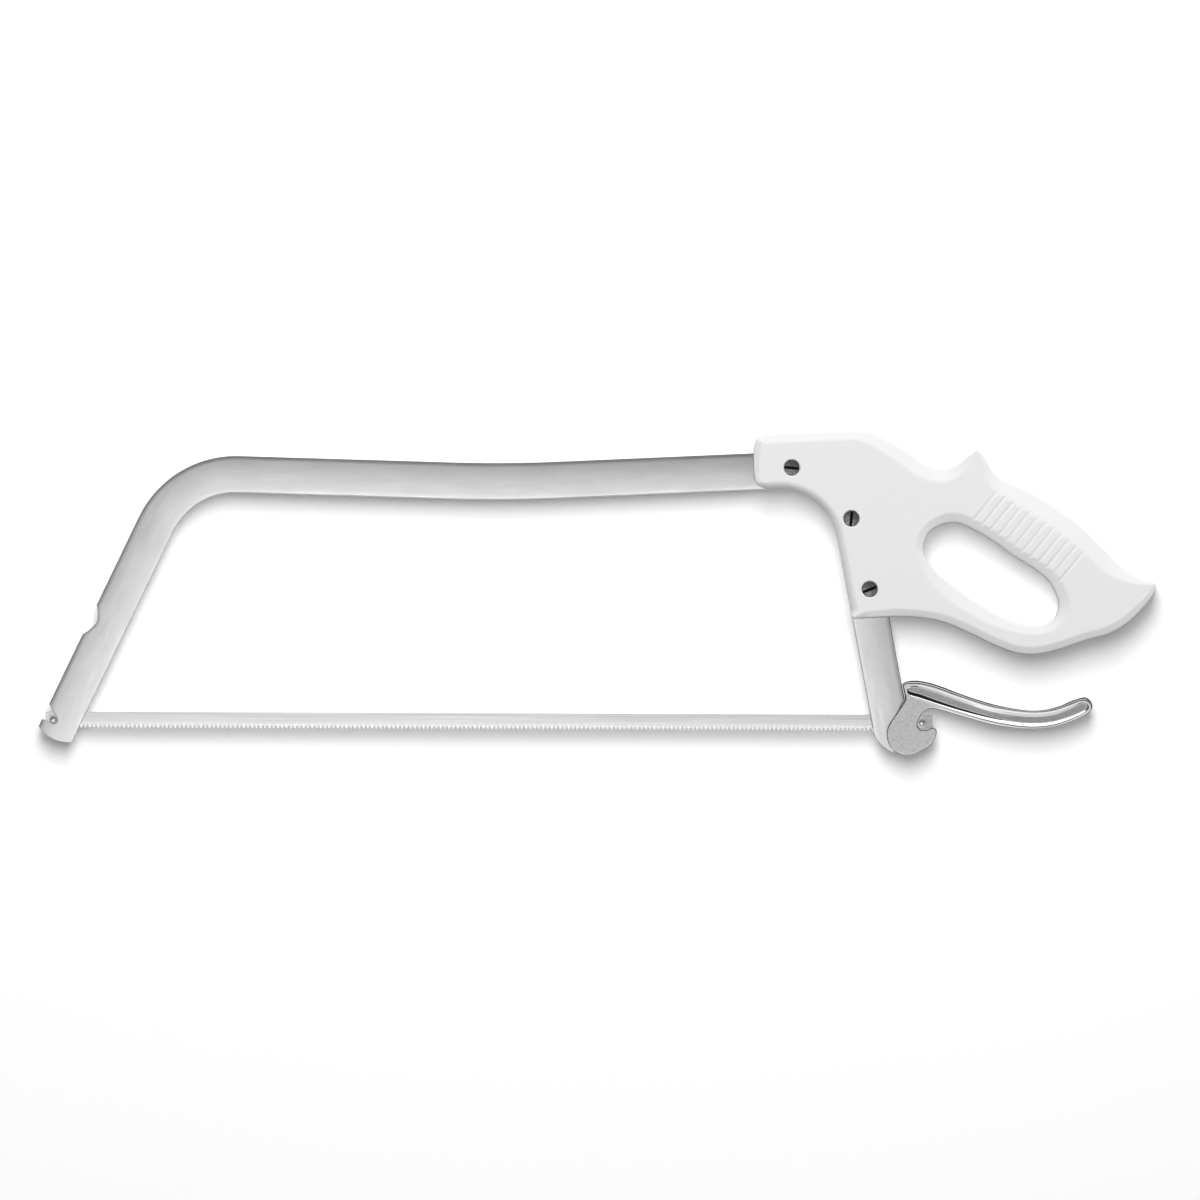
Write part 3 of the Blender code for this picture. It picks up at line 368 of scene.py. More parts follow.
class SawBlade(bpy.types.PropertyGroup):
    """Sizes and colour of the blade and its pins."""

    thickness: length_setting("Thickness", "Thickness of the blade", 0.0006)
    pitch: length_setting("Tooth pitch", "Distance from tooth to tooth", 0.0025)
    depth: length_setting("Tooth depth", "Height of a tooth", 0.0018)
    pin: length_setting("Pin diameter", "Diameter of the cross pins", 0.0042)
    colour: colour_setting("Steel", "ground steel", "#BCBCBC")


class SawLever(bpy.types.PropertyGroup):
    """Sizes and colours of the lever."""

    thickness: length_setting("Thickness", "Over both cheeks", 0.0104)
    edge: length_setting("Edge rounding", "Radius of the head's edges, which grows on the arm", 0.0009)
    draft: length_setting("Draft", "How far the sides lean in up to the edge", 0.00012)
    root: length_setting("Panel depth at the root", "Depth of the sunk panel at the head", 0.0023)
    tip: length_setting("Panel depth at the tip", "Depth of the sunk panel at the tip", 0.00118)
    colour: colour_setting("Plating", "nickel plating", "#D2D2D2")
    matt: colour_setting("Head", "matt head", "#D2D2D2")
    floor: colour_setting("Panel", "matt panel floor", "#A8A8A8")


class SawStage(bpy.types.PropertyGroup):
    """Floor, lights and camera."""

    floor: colour_setting("Floor", "floor", "#F7F7F7")
    glow: brightness_setting("Floor glow", "Light that the floor gives off by itself", 0.225)
    key: power_setting("Key light", "soft light over the top bar", 104.0)
    rim: power_setting("Rim light", "low strip that lights the handle's edges", 62.0)
    panel: power_setting("Reflector", "panel that the steel mirrors", 5.0)
    lever: power_setting("Lever reflector", "panel that the lever mirrors", 13.0)
    bow_card: power_setting("Bow card", "card that the bow's inner edges mirror", 14.0)
    card: power_setting("Card", "card that the lever mirrors", 7.2)
    low_card: power_setting("Low card", "card that the lever's panel mirrors", 1.4)
    sky: brightness_setting("Surround", "Brightness of the surround on the blade's side", 0.78)
    shade: brightness_setting("Shade", "Brightness of the surround on the top bar's side", 0.06)
    horizon: brightness_setting("Horizon", "Brightness of the surround near the floor", 0.75)
    distance: length_setting("Camera distance", "Camera height over the saw", 12.0)
    roll: FloatProperty(
        name="Camera roll", description="Turn of the picture", default=math.radians(0.2175), subtype="ANGLE",
    )
    aim: FloatVectorProperty(
        name="Aim", description="Point at the picture's centre", size=2, default=(0.00176, -0.00475),
    )
    width: length_setting("Field", "Width of the picture at the saw", 0.7013)


def placed(flat, height, datum=FRONT_PIN):
    """Plane points in millimetres from a datum, with heights from the middle plane, as points in metres."""
    flat = np.asarray(flat, float)
    points = np.empty(flat.shape[:-1] + (3,))
    points[..., :2] = datum[:2] + flat * MM
    points[..., 2] = MIDDLE + np.broadcast_to(height, flat.shape[:-1]) * MM
    return points


def grid(rows, columns, close_columns=False, start=0):
    """Quads of a grid numbered row by row, optionally joined round from the last column to the first."""
    across = columns if close_columns else columns - 1
    row, column = np.meshgrid(np.arange(rows - 1), np.arange(across), indexing="ij")
    after = (column + 1) % columns
    here, below = row * columns, (row + 1) * columns
    corners = (here + column, here + after, below + after, below + column)
    return (start + np.stack(corners, axis=-1)).reshape(-1, 4)


def arc(centre, radius, start, end, count):
    """Points on a circle between two angles in degrees."""
    angles = np.radians(np.linspace(start, end, count))
    return np.asarray(centre) + radius * np.stack([np.cos(angles), np.sin(angles)], axis=-1)


def smooth_loop(points, step):
    """A closed centripetal Catmull-Rom curve through the points, at even steps of its length.

    Between p1 and p2 it is the cubic (2t^3-3t^2+1)p1 + (t^3-2t^2+t)m1 + (3t^2-2t^3)p2 + (t^3-t^2)m2, whose
    end slopes m1 and m2 come from the neighbours at knots spaced by the square root of distance. Columns
    after the first two are carried along with the curve."""
    p1 = np.asarray(points, float)
    p0, p2, p3 = (np.roll(p1, shift, axis=0) for shift in (1, -1, -2))
    d1 = np.sqrt(np.linalg.norm((p2 - p1)[:, :2], axis=1))[:, None]
    d0, d2 = np.roll(d1, 1, axis=0), np.roll(d1, -1, axis=0)
    m1 = ((p1 - p0) / d0 - (p2 - p0) / (d0 + d1) + (p2 - p1) / d1) * d1
    m2 = ((p2 - p1) / d1 - (p3 - p1) / (d1 + d2) + (p3 - p2) / d2) * d1
    t = np.linspace(0.0, 1.0, CURVE_SAMPLES, endpoint=False)[None, :, None]
    p1, p2, m1, m2 = (array[:, None, :] for array in (p1, p2, m1, m2))
    curve = (2 * t**3 - 3 * t**2 + 1) * p1 + (t**3 - 2 * t**2 + t) * m1
    curve = curve + (3 * t**2 - 2 * t**3) * p2 + (t**3 - t**2) * m2
    curve = curve.reshape(-1, curve.shape[-1])
    closed = np.vstack([curve, curve[:1]])
    length = np.concatenate([[0.0], np.cumsum(np.linalg.norm(np.diff(closed[:, :2], axis=0), axis=1))])
    count = max(LEAST_POINTS, round(length[-1] / step))
    marks = np.linspace(0.0, length[-1], count, endpoint=False)
    return np.stack([np.interp(marks, length, column) for column in closed.T], axis=-1)


def left_normals(loop):
    """Unit normals on the left of a closed loop's direction of travel."""
    way = np.roll(loop, -1, axis=0) - np.roll(loop, 1, axis=0)
    way = way / np.linalg.norm(way, axis=1)[:, None]
    return np.stack([-way[:, 1], way[:, 0]], axis=-1)


def edge_rings(loop, radii, top, steps, lean=0.0):
    """Rings of a rounded upper edge carried round a loop with the material on its left.

    At angle a the ring lies lean + r(1 - cos a) inside the loop and r(1 - sin a) below the top. One more ring
    just inside the last keeps the flat face flat to the eye."""
    inward = left_normals(loop)
    angles = np.linspace(0.0, math.pi / 2, steps)[:, None]
    inset = lean + np.vstack([radii * (1 - np.cos(angles)), radii[None] + FACE_INSET])
    height = np.vstack([top - radii * (1 - np.sin(angles)), np.full_like(radii, top)[None]])
    return loop + inward * inset[..., None], height


def bevel_rings(loop, widths, tilts, top):
    """Rings of a bevelled upper edge carried round a loop with the material on its left.

    From the loop inwards a quarter round of radius r climbs to the bevel's tilt, r(1 - cos a) inside and
    r sin a up, the bevel runs on at that tilt, and a parabola levels it over the last part, u - u^2/2 of its
    rise. The steeper the tilt, the more of the bevel is the parabola."""
    radius = np.minimum(BEVEL_ROUND, BEVEL_ROUND_SHARE * widths)
    angles = np.linspace(0.0, 1.0, 7)[:, None] * (math.pi / 2 - tilts)
    start, slope = radius * (1 - np.sin(tilts)), np.tan(tilts)
    steep = (tilts - BEVEL_TILT) / (THROAT_TILT - BEVEL_TILT)
    levelling = BEVEL_LEVELLING + (THROAT_LEVELLING - BEVEL_LEVELLING) * steep
    blend = (widths - start) * np.clip(levelling, BEVEL_LEVELLING, THROAT_LEVELLING)
    end, foot = widths - blend, radius * np.cos(tilts)
    share, u = np.array(BEVEL_STEPS)[:, None], np.linspace(0.0, 1.0, 9)[1:, None]
    inset = np.vstack([
        radius * (1 - np.cos(angles)), start + (end - start) * share, end + blend * u,
        widths + CHEEK_INSET,
    ])
    rise = np.vstack([
        radius * np.sin(angles), foot + (end - start) * slope * share,
        foot + (end - start + blend * (u - u**2 / 2)) * slope,
    ])
    rise = np.vstack([rise, rise[-1:]])
    return loop + left_normals(loop) * inset[..., None], top - rise[-1] + rise


def cap(loops):
    """Triangles that fill flat loops, numbered through the loops in order."""
    outline = [[Vector((x, y, 0.0)) for x, y in loop] for loop in loops]
    return np.array(tessellate_polygon(outline))


def facing(points, faces, up):
    """The faces, each turned so that its normal looks up or down the z axis."""
    a, b, c = (points[faces[:, index]] for index in range(3))
    rises = np.cross(b - a, c - a)[:, 2] > 0
    return np.where((rises == up)[:, None], faces, faces[:, ::-1])


def make_piece(name, points, faces, materials, uv=None, crease=CREASE, panel=None):
    """A mesh object at the origin from points and groups of faces, smooth apart from creases.

    uv holds a pair for each point, and panel the group whose faces take the second material."""
    mesh = bpy.data.meshes.new(name)
    mesh.from_pydata(points.tolist(), [], [face for group in faces for face in group.tolist()])
    for material in materials:
        mesh.materials.append(material)
    if panel is not None:
        sizes = [len(group) for group in faces]
        index = np.repeat(np.isin(np.arange(len(faces)), panel).astype(int), sizes)
        mesh.polygons.foreach_set("material_index", index)
    if uv is not None:
        corner = np.empty(len(mesh.loops), int)
        mesh.loops.foreach_get("vertex_index", corner)
        layer = mesh.uv_layers.new(name="surface")
        layer.data.foreach_set("uv", uv[corner].ravel())
    finish_mesh(mesh, crease)
    obj = bpy.data.objects.new(name, mesh)
    bpy.context.scene.collection.objects.link(obj)
    return obj


def finish_mesh(mesh, crease):
    """Smooth faces with sharp edges where they meet at more than the crease angle in degrees."""
    mesh.polygons.foreach_set("use_smooth", np.ones(len(mesh.polygons), bool))
    mesh.set_sharp_from_angle(angle=math.radians(crease))
    mesh.update()


def cut_away(obj, points, faces, crease=CREASE):
    """Takes a closed shape out of a piece and keeps the result as the piece's mesh."""
    cutter = make_piece("cutter", points, faces, [])
    modifier = obj.modifiers.new("cut", "BOOLEAN")
    modifier.operation = "DIFFERENCE"
    modifier.solver = "EXACT"
    modifier.object = cutter
    graph = bpy.context.evaluated_depsgraph_get()
    mesh = bpy.data.meshes.new_from_object(obj.evaluated_get(graph))
    obj.modifiers.clear()
    old = obj.data
    obj.data = mesh
    mesh.name = old.name
    bpy.data.meshes.remove(old)
    bpy.data.objects.remove(cutter)
    finish_mesh(obj.data, crease)


def prism(outline, low, high, datum=FRONT_PIN):
    """An outline of the plane carried from one height to another, as points and faces."""
    outline = np.asarray(outline, float)
    count = len(outline)
    points = np.vstack([placed(outline, low, datum), placed(outline, high, datum)])
    x, y = outline.T
    if np.sum(x * np.roll(y, -1) - y * np.roll(x, -1)) < 0:
        points = np.vstack([points[:count][::-1], points[count:][::-1]])
    ends = np.arange(count)
    return points, [grid(2, count, True), ends[None, ::-1], (ends + count)[None]]


def turned(place, radii, heights, segments=48):
    """A profile of radii and heights turned about an upright axis: x = r cos a, y = r sin a, z = h."""
    angles = np.linspace(0.0, 2 * math.pi, segments, endpoint=False)
    ring = np.stack([np.cos(angles), np.sin(angles)], axis=-1)
    flat = np.asarray(place) + np.asarray(radii, float)[:, None, None] * ring
    points = placed(flat, np.asarray(heights, float)[:, None]).reshape(-1, 3)
    ends = np.arange(segments)
    last = (len(radii) - 1) * segments
    faces = [grid(len(radii), segments, True), ends[None, ::-1], (ends + last)[None]]
    if heights[-1] < heights[0]:
        faces = [group[:, ::-1] for group in faces]
    return points, faces


def joined(parts):
    """Several sets of points and faces as one set."""
    starts = np.cumsum([0] + [len(points) for points, _ in parts])
    points = np.vstack([points for points, _ in parts])
    return points, [group + start for (_, faces), start in zip(parts, starts) for group in faces]


def bar_line():
    """The bow's centre line as arc lengths from the front foot, plane points and headings.

    Straight runs meet in arcs of the bend radii: an arc of radius R that turns by w starts R tan(w/2)
    before its corner."""
    front_down = -np.array([math.sin(FRONT_LEAN), math.cos(FRONT_LEAN)])
    rear_down = np.array([math.sin(REAR_LEAN), -math.cos(REAR_LEAN)])
    corners = [FRONT_CORNER, DIP, REAR_CORNER, REAR_FOOT + rear_down * FOOT_OVERRUN]
    here = FRONT_FOOT + front_down * FOOT_OVERRUN
    runs = []
    for corner, after, radius in zip(corners, corners[1:], BENDS):
        arrive = (corner - here) / np.linalg.norm(corner - here)
        leave = (after - corner) / np.linalg.norm(after - corner)
        turn = math.atan2(arrive[0] * leave[1] - arrive[1] * leave[0], arrive @ leave)
        reach = radius * math.tan(abs(turn) / 2)
        start = corner - arrive * reach
        runs.append(np.linspace(here, start, RUN_POINTS, endpoint=False))
        side = math.copysign(1.0, turn)
        centre = start + side * radius * np.array([-arrive[1], arrive[0]])
        first = math.degrees(math.atan2(*(start - centre)[::-1]))
        runs.append(arc(centre, radius, first, first + math.degrees(turn), BEND_POINTS)[:-1])
        here = corner + leave * reach
    runs.append(np.linspace(here, corners[-1], RUN_POINTS))
    line = np.vstack(runs)
    step = np.diff(line, axis=0)
    length = np.concatenate([[0.0], np.cumsum(np.linalg.norm(step, axis=1))]) - FOOT_OVERRUN
    heading = np.unwrap(np.arctan2(*np.gradient(line, length, axis=0).T[::-1]))
    return length, line, heading


def along_bar(stations, offset):
    """Plane points at stations along the bow and offsets from its centre line towards the throat."""
    length, line, heading = bar_line()
    centre = np.stack([np.interp(stations, length, column) for column in line.T], axis=-1)
    turn = np.interp(stations, length, heading)
    inner = np.stack([np.sin(turn), -np.cos(turn)], axis=-1)
    return centre + np.asarray(offset)[..., None] * inner


def bow_edges():
    """Stations along the bow with the offsets of its outer and inner edges and their rounding.

    At the front foot the outer edge steps in to the hook's bowl, a circle about the pin, and runs out along
    the hook's flank. Further up it has the side notch. At the rear foot the outer edge is the lever's seat,
    a flank and a circle about the lever's axis, and the inner edge rounds over to the tip."""
    rear = bar_line()[0][-1] - FOOT_OVERRUN
    pin_s = -FRONT_FOOT[0] * math.sin(FRONT_LEAN)
    pin_depth = HALF_BAR - FRONT_FOOT[0] * math.cos(FRONT_LEAN)
    lip = pin_s - HOOK_RADIUS
    flank_s, flank_depth = pin_s + HOOK_FLANK[0], pin_depth + HOOK_FLANK[1]
    mouth = flank_s + flank_depth * HOOK_FLANK_RUN
    foot = -FRONT_END + CUT_EDGE * (1 - np.cos(np.linspace(0.0, math.pi / 2, 5)))
    below_hook = np.arange(-FRONT_END + 2 * CUT_EDGE, lip - 0.1, FOOT_STEP)
    low = np.concatenate([foot, below_hook, [lip - HOOK_LIP_WALL]])
    bowl = np.linspace(lip + HOOK_LIP_WALL, flank_s, 16)
    flank = np.linspace(flank_s, mouth, 18)[1:]
    corners = [s for s, _ in SIDE_NOTCH]
    leg = np.linspace(mouth + 0.3, corners[0] - 0.5, 18)
    notch = np.linspace(corners[0], corners[-1], 64)
    over = np.arange(corners[-1] + 0.6, rear - TOP_END, TOP_STEP)
    drop = np.linspace(*REAR_STATIONS) + rear
    stations = np.concatenate([low, bowl, flank, leg, notch, over, drop])
    u = stations - rear

    depth = np.zeros_like(stations)
    inside = (stations > lip) & (stations <= flank_s)
    depth[inside] = pin_depth + np.sqrt(np.maximum(0.0, HOOK_RADIUS**2 - (stations[inside] - pin_s) ** 2))
    inside = (stations > flank_s) & (stations < mouth)
    depth[inside] = flank_depth * (mouth - stations[inside]) / (mouth - flank_s)
    depth = depth + np.interp(stations, *zip(*SIDE_NOTCH), left=0.0, right=0.0)

    axis_u, axis_w = SEAT_AXIS
    back_start, seat_start, seat_end, _ = (place for place, _ in SEAT_BACK)
    back = np.interp(u, *zip(*SEAT_BACK))
    seat = axis_w - np.sqrt(np.maximum(0.0, SEAT_RADIUS**2 - (u - axis_u) ** 2))
    back = np.where((u > seat_start) & (u < seat_end), seat, back)
    toe_u, toe_w = TOE_CENTRE
    toe = toe_w - np.sqrt(np.maximum(0.0, TOE_RADIUS**2 - (u - toe_u) ** 2))
    toe = np.where(u > toe_u, toe, -HALF_BAR)
    toe = np.where(u > TOE_TIP[0][0], np.interp(u, *zip(*TOE_TIP)), toe)
    outer = np.where(u > back_start, -back, -HALF_BAR + depth)
    inner = -toe
    outer_cut = (depth > 0.0) | (u > back_start)
    inner_cut = u > toe_u
    return stations, outer, inner, outer_cut, inner_cut


def make_bow(settings, steel):
    """The bow as a ribbon: each station's section runs from the outer to the inner edge with rounded edges
    and a crown, z = h - r + r sin a near an edge less c(q/w)^2 over the width, and its mirror below.

    The front end is rounded by moving its stations in, and the feet are split in the middle by the blade's
    slot."""
    half, edge, crown = settings.thickness / 2 / MM, settings.edge / MM, settings.crown / MM
    stations, outer, inner, outer_cut, inner_cut = bow_edges()
    width = inner - outer
    r_outer = np.minimum(np.where(outer_cut, CUT_EDGE, edge), width * NARROW_EDGE)
    r_inner = np.minimum(np.where(inner_cut, CUT_EDGE, edge), width * NARROW_EDGE)
    angles = np.linspace(0.0, math.pi / 2, 7)[:, None]
    share = np.linspace(0.0, 1.0, 12)[1:-1, None]
    q = np.vstack([
        outer + r_outer * (1 - np.cos(angles)),
        outer + r_outer + (width - r_outer - r_inner) * share,
        inner - r_inner * (1 - np.cos(angles[::-1])),
    ])
    z = np.vstack([
        half - r_outer * (1 - np.sin(angles)), np.full((len(share), len(stations)), half),
        half - r_inner * (1 - np.sin(angles[::-1])),
    ])
    z = z - crown * (q / HALF_BAR) ** 2
    from_end = np.clip(stations + FRONT_END, 0.0, CUT_EDGE)
    z = z - (CUT_EDGE - np.sqrt(CUT_EDGE**2 - (CUT_EDGE - from_end) ** 2))
    sag = FRONT_END_RADIUS - np.sqrt(FRONT_END_RADIUS**2 - np.clip(q, -HALF_BAR, HALF_BAR) ** 2)
    near = np.clip((-FRONT_END_BLEND - stations) / (FRONT_END - FRONT_END_BLEND), 0.0, 1.0)

    rows = len(q)
    slot = np.full((1, len(stations)), BLADE_SLOT)
    ring_q = np.vstack([q, q[-1:], q[-1:], q[::-1], q[:1], q[:1]])
    ring_z = np.vstack([z, slot, -slot, -z[::-1], -slot, slot])
    ring_sag = np.vstack([sag, sag[-1:], sag[-1:], sag[::-1], sag[:1], sag[:1]])
    shifted = stations + ring_sag * near
    flat = along_bar(shifted.ravel(), ring_q.ravel()).reshape(ring_q.shape + (2,))
    points = placed(flat, ring_z).transpose(1, 0, 2).reshape(-1, 3)
    uv = np.stack([shifted, ring_q], axis=-1).transpose(1, 0, 2).reshape(-1, 2) * MM

    count = 2 * rows + 4
    walls = grid(len(stations), count, True).reshape(len(stations) - 1, count, 4)
    rear = bar_line()[0][-1] - FOOT_OVERRUN
    slotted = (stations[1:] < FRONT_SLOT) | (stations[:-1] > rear - REAR_SLOT)
    keep = np.ones((len(stations) - 1, count), bool)
    keep[slotted, rows] = False
    keep[slotted, 2 * rows + 2] = False
    column = np.arange(len(stations)) * count
    faces = [walls[keep]]
    here, after = column[:-1], column[1:]
    for first, last, up in ((rows, 2 * rows + 3, False), (rows + 1, 2 * rows + 2, True)):
        slit = np.stack([here + first, after + first, after + last, here + last], axis=-1)
        faces.append(facing(points, slit[slotted], up))
    starts = np.flatnonzero(np.diff(slotted.astype(int)) != 0) + 1
    for index, reverse in zip(starts, (True, False)):
        mouth = column[index] + np.array([[rows, rows + 1, 2 * rows + 2, 2 * rows + 3]])
        faces.append(mouth[:, ::-1] if reverse else mouth)
    upper = np.concatenate([np.arange(rows + 1), [2 * rows + 3]])
    lower = np.arange(rows + 1, 2 * rows + 3)
    faces += [upper[None, ::-1], lower[None, ::-1], (column[-1] + upper)[None], (column[-1] + lower)[None]]
    return make_piece("bow", points, faces, [steel], uv, BOW_CREASE)


def handle_loops():
    """The handle's outline and finger hole in the saw's plane, each with the width and tilt of its bevel."""
    length, line, _ = bar_line()
    edge = along_bar(length, np.full_like(length, HALF_BAR - BAR_SHOWS)) - REAR_CORNER
    held = (edge[:, 0] > -HANDLE_BAR_REACH) & (edge[:, 1] > -HANDLE_LEG_REACH)
    edge = edge[held & (line[:, 0] > SPAN / 2)]
    run = np.concatenate([[0.0], np.cumsum(np.linalg.norm(np.diff(edge, axis=0), axis=1))])
    marks = np.linspace(0.0, run[-1], THROAT_POINTS)
    edge = np.stack([np.interp(marks, run, edge[:, 0]), np.interp(marks, run, edge[:, 1])], axis=-1)
    throat = np.column_stack([edge, np.full((THROAT_POINTS, 2), (THROAT_WIDTH, THROAT_TILT))])
    throat[-1, 2] = THROAT_FOOT_WIDTH
    rest, hole = (
        np.column_stack([points, np.full(len(points), BEVEL_TILT)]) for points in (HANDLE_POINTS, FINGER_HOLE)
    )
    loops = smooth_loop(np.vstack([rest, throat]), HANDLE_STEP), smooth_loop(hole, HANDLE_STEP)
    return [(REAR_CORNER + loop[:, :2], loop[:, 2], loop[:, 3]) for loop in loops]


def reach_to(loop, start, way):
    """How far a ray goes from its start until it first meets a closed loop.

    On each edge from a to b the ray's length is cross(a - start, b - a) / cross(way, b - a)."""
    here, edge = loop - start, np.roll(loop, -1, axis=0) - loop
    slope = way[0] * edge[:, 1] - way[1] * edge[:, 0]
    length = (here[:, 0] * edge[:, 1] - here[:, 1] * edge[:, 0]) / slope
    share = (here[:, 0] * way[1] - here[:, 1] * way[0]) / slope
    return np.min(length[(share >= 0) & (share < 1) & (length > 0)])


def groove(centre, hole, side, top, settings):
    """A straight bar with a parabola for its lower side, h = d((c/w)^2 - 1), laid along a grip groove from
    the finger hole's edge over the cheek, where its end lifts out."""
    along = np.array([math.cos(GROOVE_ANGLE), math.sin(GROOVE_ANGLE)])
    wide, deep = settings.groove_width / 2 / MM, settings.groove_depth / MM
    across = np.linspace(GROOVE_SPREAD, -GROOVE_SPREAD, 9)
    start = GROOVE_START - reach_to(hole, centre, -along)
    way = np.array([start, GROOVE_HALF - GROOVE_LIFT, GROOVE_HALF])
    lift = np.array([0.0, 0.0, deep])
    flat = centre + way[:, None, None] * along + wide * across[:, None] * np.array([-along[1], along[0]])
    height = top + lift[:, None] + deep * (across**2 - 1)
    points = placed(flat, side * height).reshape(-1, 3)
    ends = np.arange(len(across))
    last = ends + len(points) - len(across)
    faces = [grid(len(way), len(across), True), ends[None, ::-1], last[None]]
    return points, faces if side < 0 else [group[:, ::-1] for group in faces]


def make_handle_half(name, side, settings, fasteners, plastic):
    """One half: a bevelled edge carried round the outline and the finger hole, a flat cheek and a flat joint,
    with a channel for the bar, grooves across the grip and counterbores for the heads."""
    top = settings.thickness / 2 / MM
    loops = handle_loops()
    points, faces, tops, feet, start = [], [], [], [], 0
    for loop, widths, tilts in loops:
        flat, height = bevel_rings(loop, widths, tilts, top)
        flat = np.concatenate([loop[None], flat])
        height = np.concatenate([np.full((1, len(loop)), JOINT_GAP), height])
        points.append(placed(flat, side * height).reshape(-1, 3))
        faces.append(grid(len(flat), len(loop), True, start))
        feet.append((loop, start + np.arange(len(loop))))
        start += flat.shape[0] * flat.shape[1]
        tops.append((flat[-1], start - len(loop) + np.arange(len(loop))))
    points = np.vstack(points)
    if side < 0:
        faces = [group[:, ::-1] for group in faces]
    for layer, up in ((tops, side > 0), (feet, side < 0)):
        number = np.concatenate([index for _, index in layer])
        faces.append(facing(points, number[cap([flat for flat, _ in layer])], up))
    half = make_piece(name, points, faces, [plastic])

    stations = np.linspace(CHANNEL_START, bar_line()[0][-1] - 1.0, CHANNEL_STATIONS)
    corners = np.array([
        (-CHANNEL_BACK, -CHANNEL_HALF), (CHANNEL_FRONT, -CHANNEL_HALF),
        (CHANNEL_FRONT, CHANNEL_HALF), (-CHANNEL_BACK, CHANNEL_HALF),
    ])
    flat = along_bar(np.repeat(stations, 4), np.tile(corners[:, 0], len(stations)))
    channel = placed(flat, np.tile(corners[:, 1], len(stations)))
    ends = np.arange(4)
    walls = [grid(len(stations), 4, True)[:, ::-1], ends[None], (ends + 4 * len(stations) - 4)[None, ::-1]]
    cut_away(half, channel, walls)

    seat, floor = fasteners.head / 2 / MM + HEAD_PLAY, top - fasteners.recess / MM - SEAT_DEPTH
    mouth = seat + COUNTERSINK
    cutters = []
    for x, y, _ in SCREWS.values():
        radii = [BORE_RADIUS, BORE_RADIUS, seat, seat, mouth, mouth]
        heights = np.array([BORE_FOOT, floor, floor, top - COUNTERSINK, top, top + MOUTH_CLEAR])
        cutters.append(turned(REAR_CORNER + np.array([x, y]), radii, side * heights))
    for share in np.linspace(0.0, 1.0, settings.grooves):
        centre = REAR_CORNER + FIRST_GROOVE + (LAST_GROOVE - FIRST_GROOVE) * share
        cutters.append(groove(centre, loops[1][0], side, top, settings))
    cut_away(half, *joined(cutters))
    return half


def make_fastener(name, kind, spot, side, settings, handle, steel):
    """A slotted head with a slightly domed face on a plain shank or a hollow sleeve."""
    x, y, turn = SCREWS[spot]
    place = REAR_CORNER + np.array([x, y])
    reach, face = settings.head / 2 / MM, handle.thickness / 2 / MM - settings.recess / MM
    under, rim = face - HEAD_HEIGHT, reach - HEAD_ROUND
    quarter, dome = np.linspace(0.0, math.pi / 2, 5), np.linspace(1.0, 0.02, 8)[1:]
    head_r = np.concatenate([[reach], reach - HEAD_ROUND * (1 - np.cos(quarter)), rim * dome])
    head_z = np.concatenate([
        [under], face - HEAD_ROUND * (1 - np.sin(quarter)), face + HEAD_CROWN * (1 - dome**2),
    ])
    if kind == "screw":
        radii, heights = [SHANK_RADIUS, SHANK_RADIUS], [SHANK_END, under]
    else:
        radii = [SLEEVE_BORE, SLEEVE_BORE, SLEEVE_RADIUS, SLEEVE_RADIUS]
        heights = [under - SLEEVE_BLIND, SLEEVE_GAP - under, SLEEVE_GAP - under, under]
    radii, heights = np.concatenate([radii, head_r]), np.concatenate([heights, head_z])
    obj = make_piece(name, *turned(place, radii, side * heights), [steel], None, FINE_CREASE)
    along = np.array([math.cos(math.radians(turn)), math.sin(math.radians(turn))])
    across = np.array([-along[1], along[0]])
    wide = settings.slot / 2 / MM
    lip = wide + SLOT_LIP
    section = np.array([
        (-wide, -SLOT_DEPTH), (wide, -SLOT_DEPTH), (wide, SLOT_LIP_FOOT), (lip, SLOT_LIP),
        (lip, SLOT_CLEAR), (-lip, SLOT_CLEAR), (-lip, SLOT_LIP), (-wide, SLOT_LIP_FOOT),
    ])
    flat = place + np.array([[[-2.0]], [[2.0]]]) * reach * along + section[:, :1] * across
    points = placed(flat, side * (face + section[:, 1])).reshape(-1, 3)
    ends = np.arange(len(section))
    faces = [grid(2, len(section), True), ends[None, ::-1], (ends + len(section))[None]]
    cut_away(obj, points, faces if side > 0 else [group[:, ::-1] for group in faces], FINE_CREASE)
    return obj


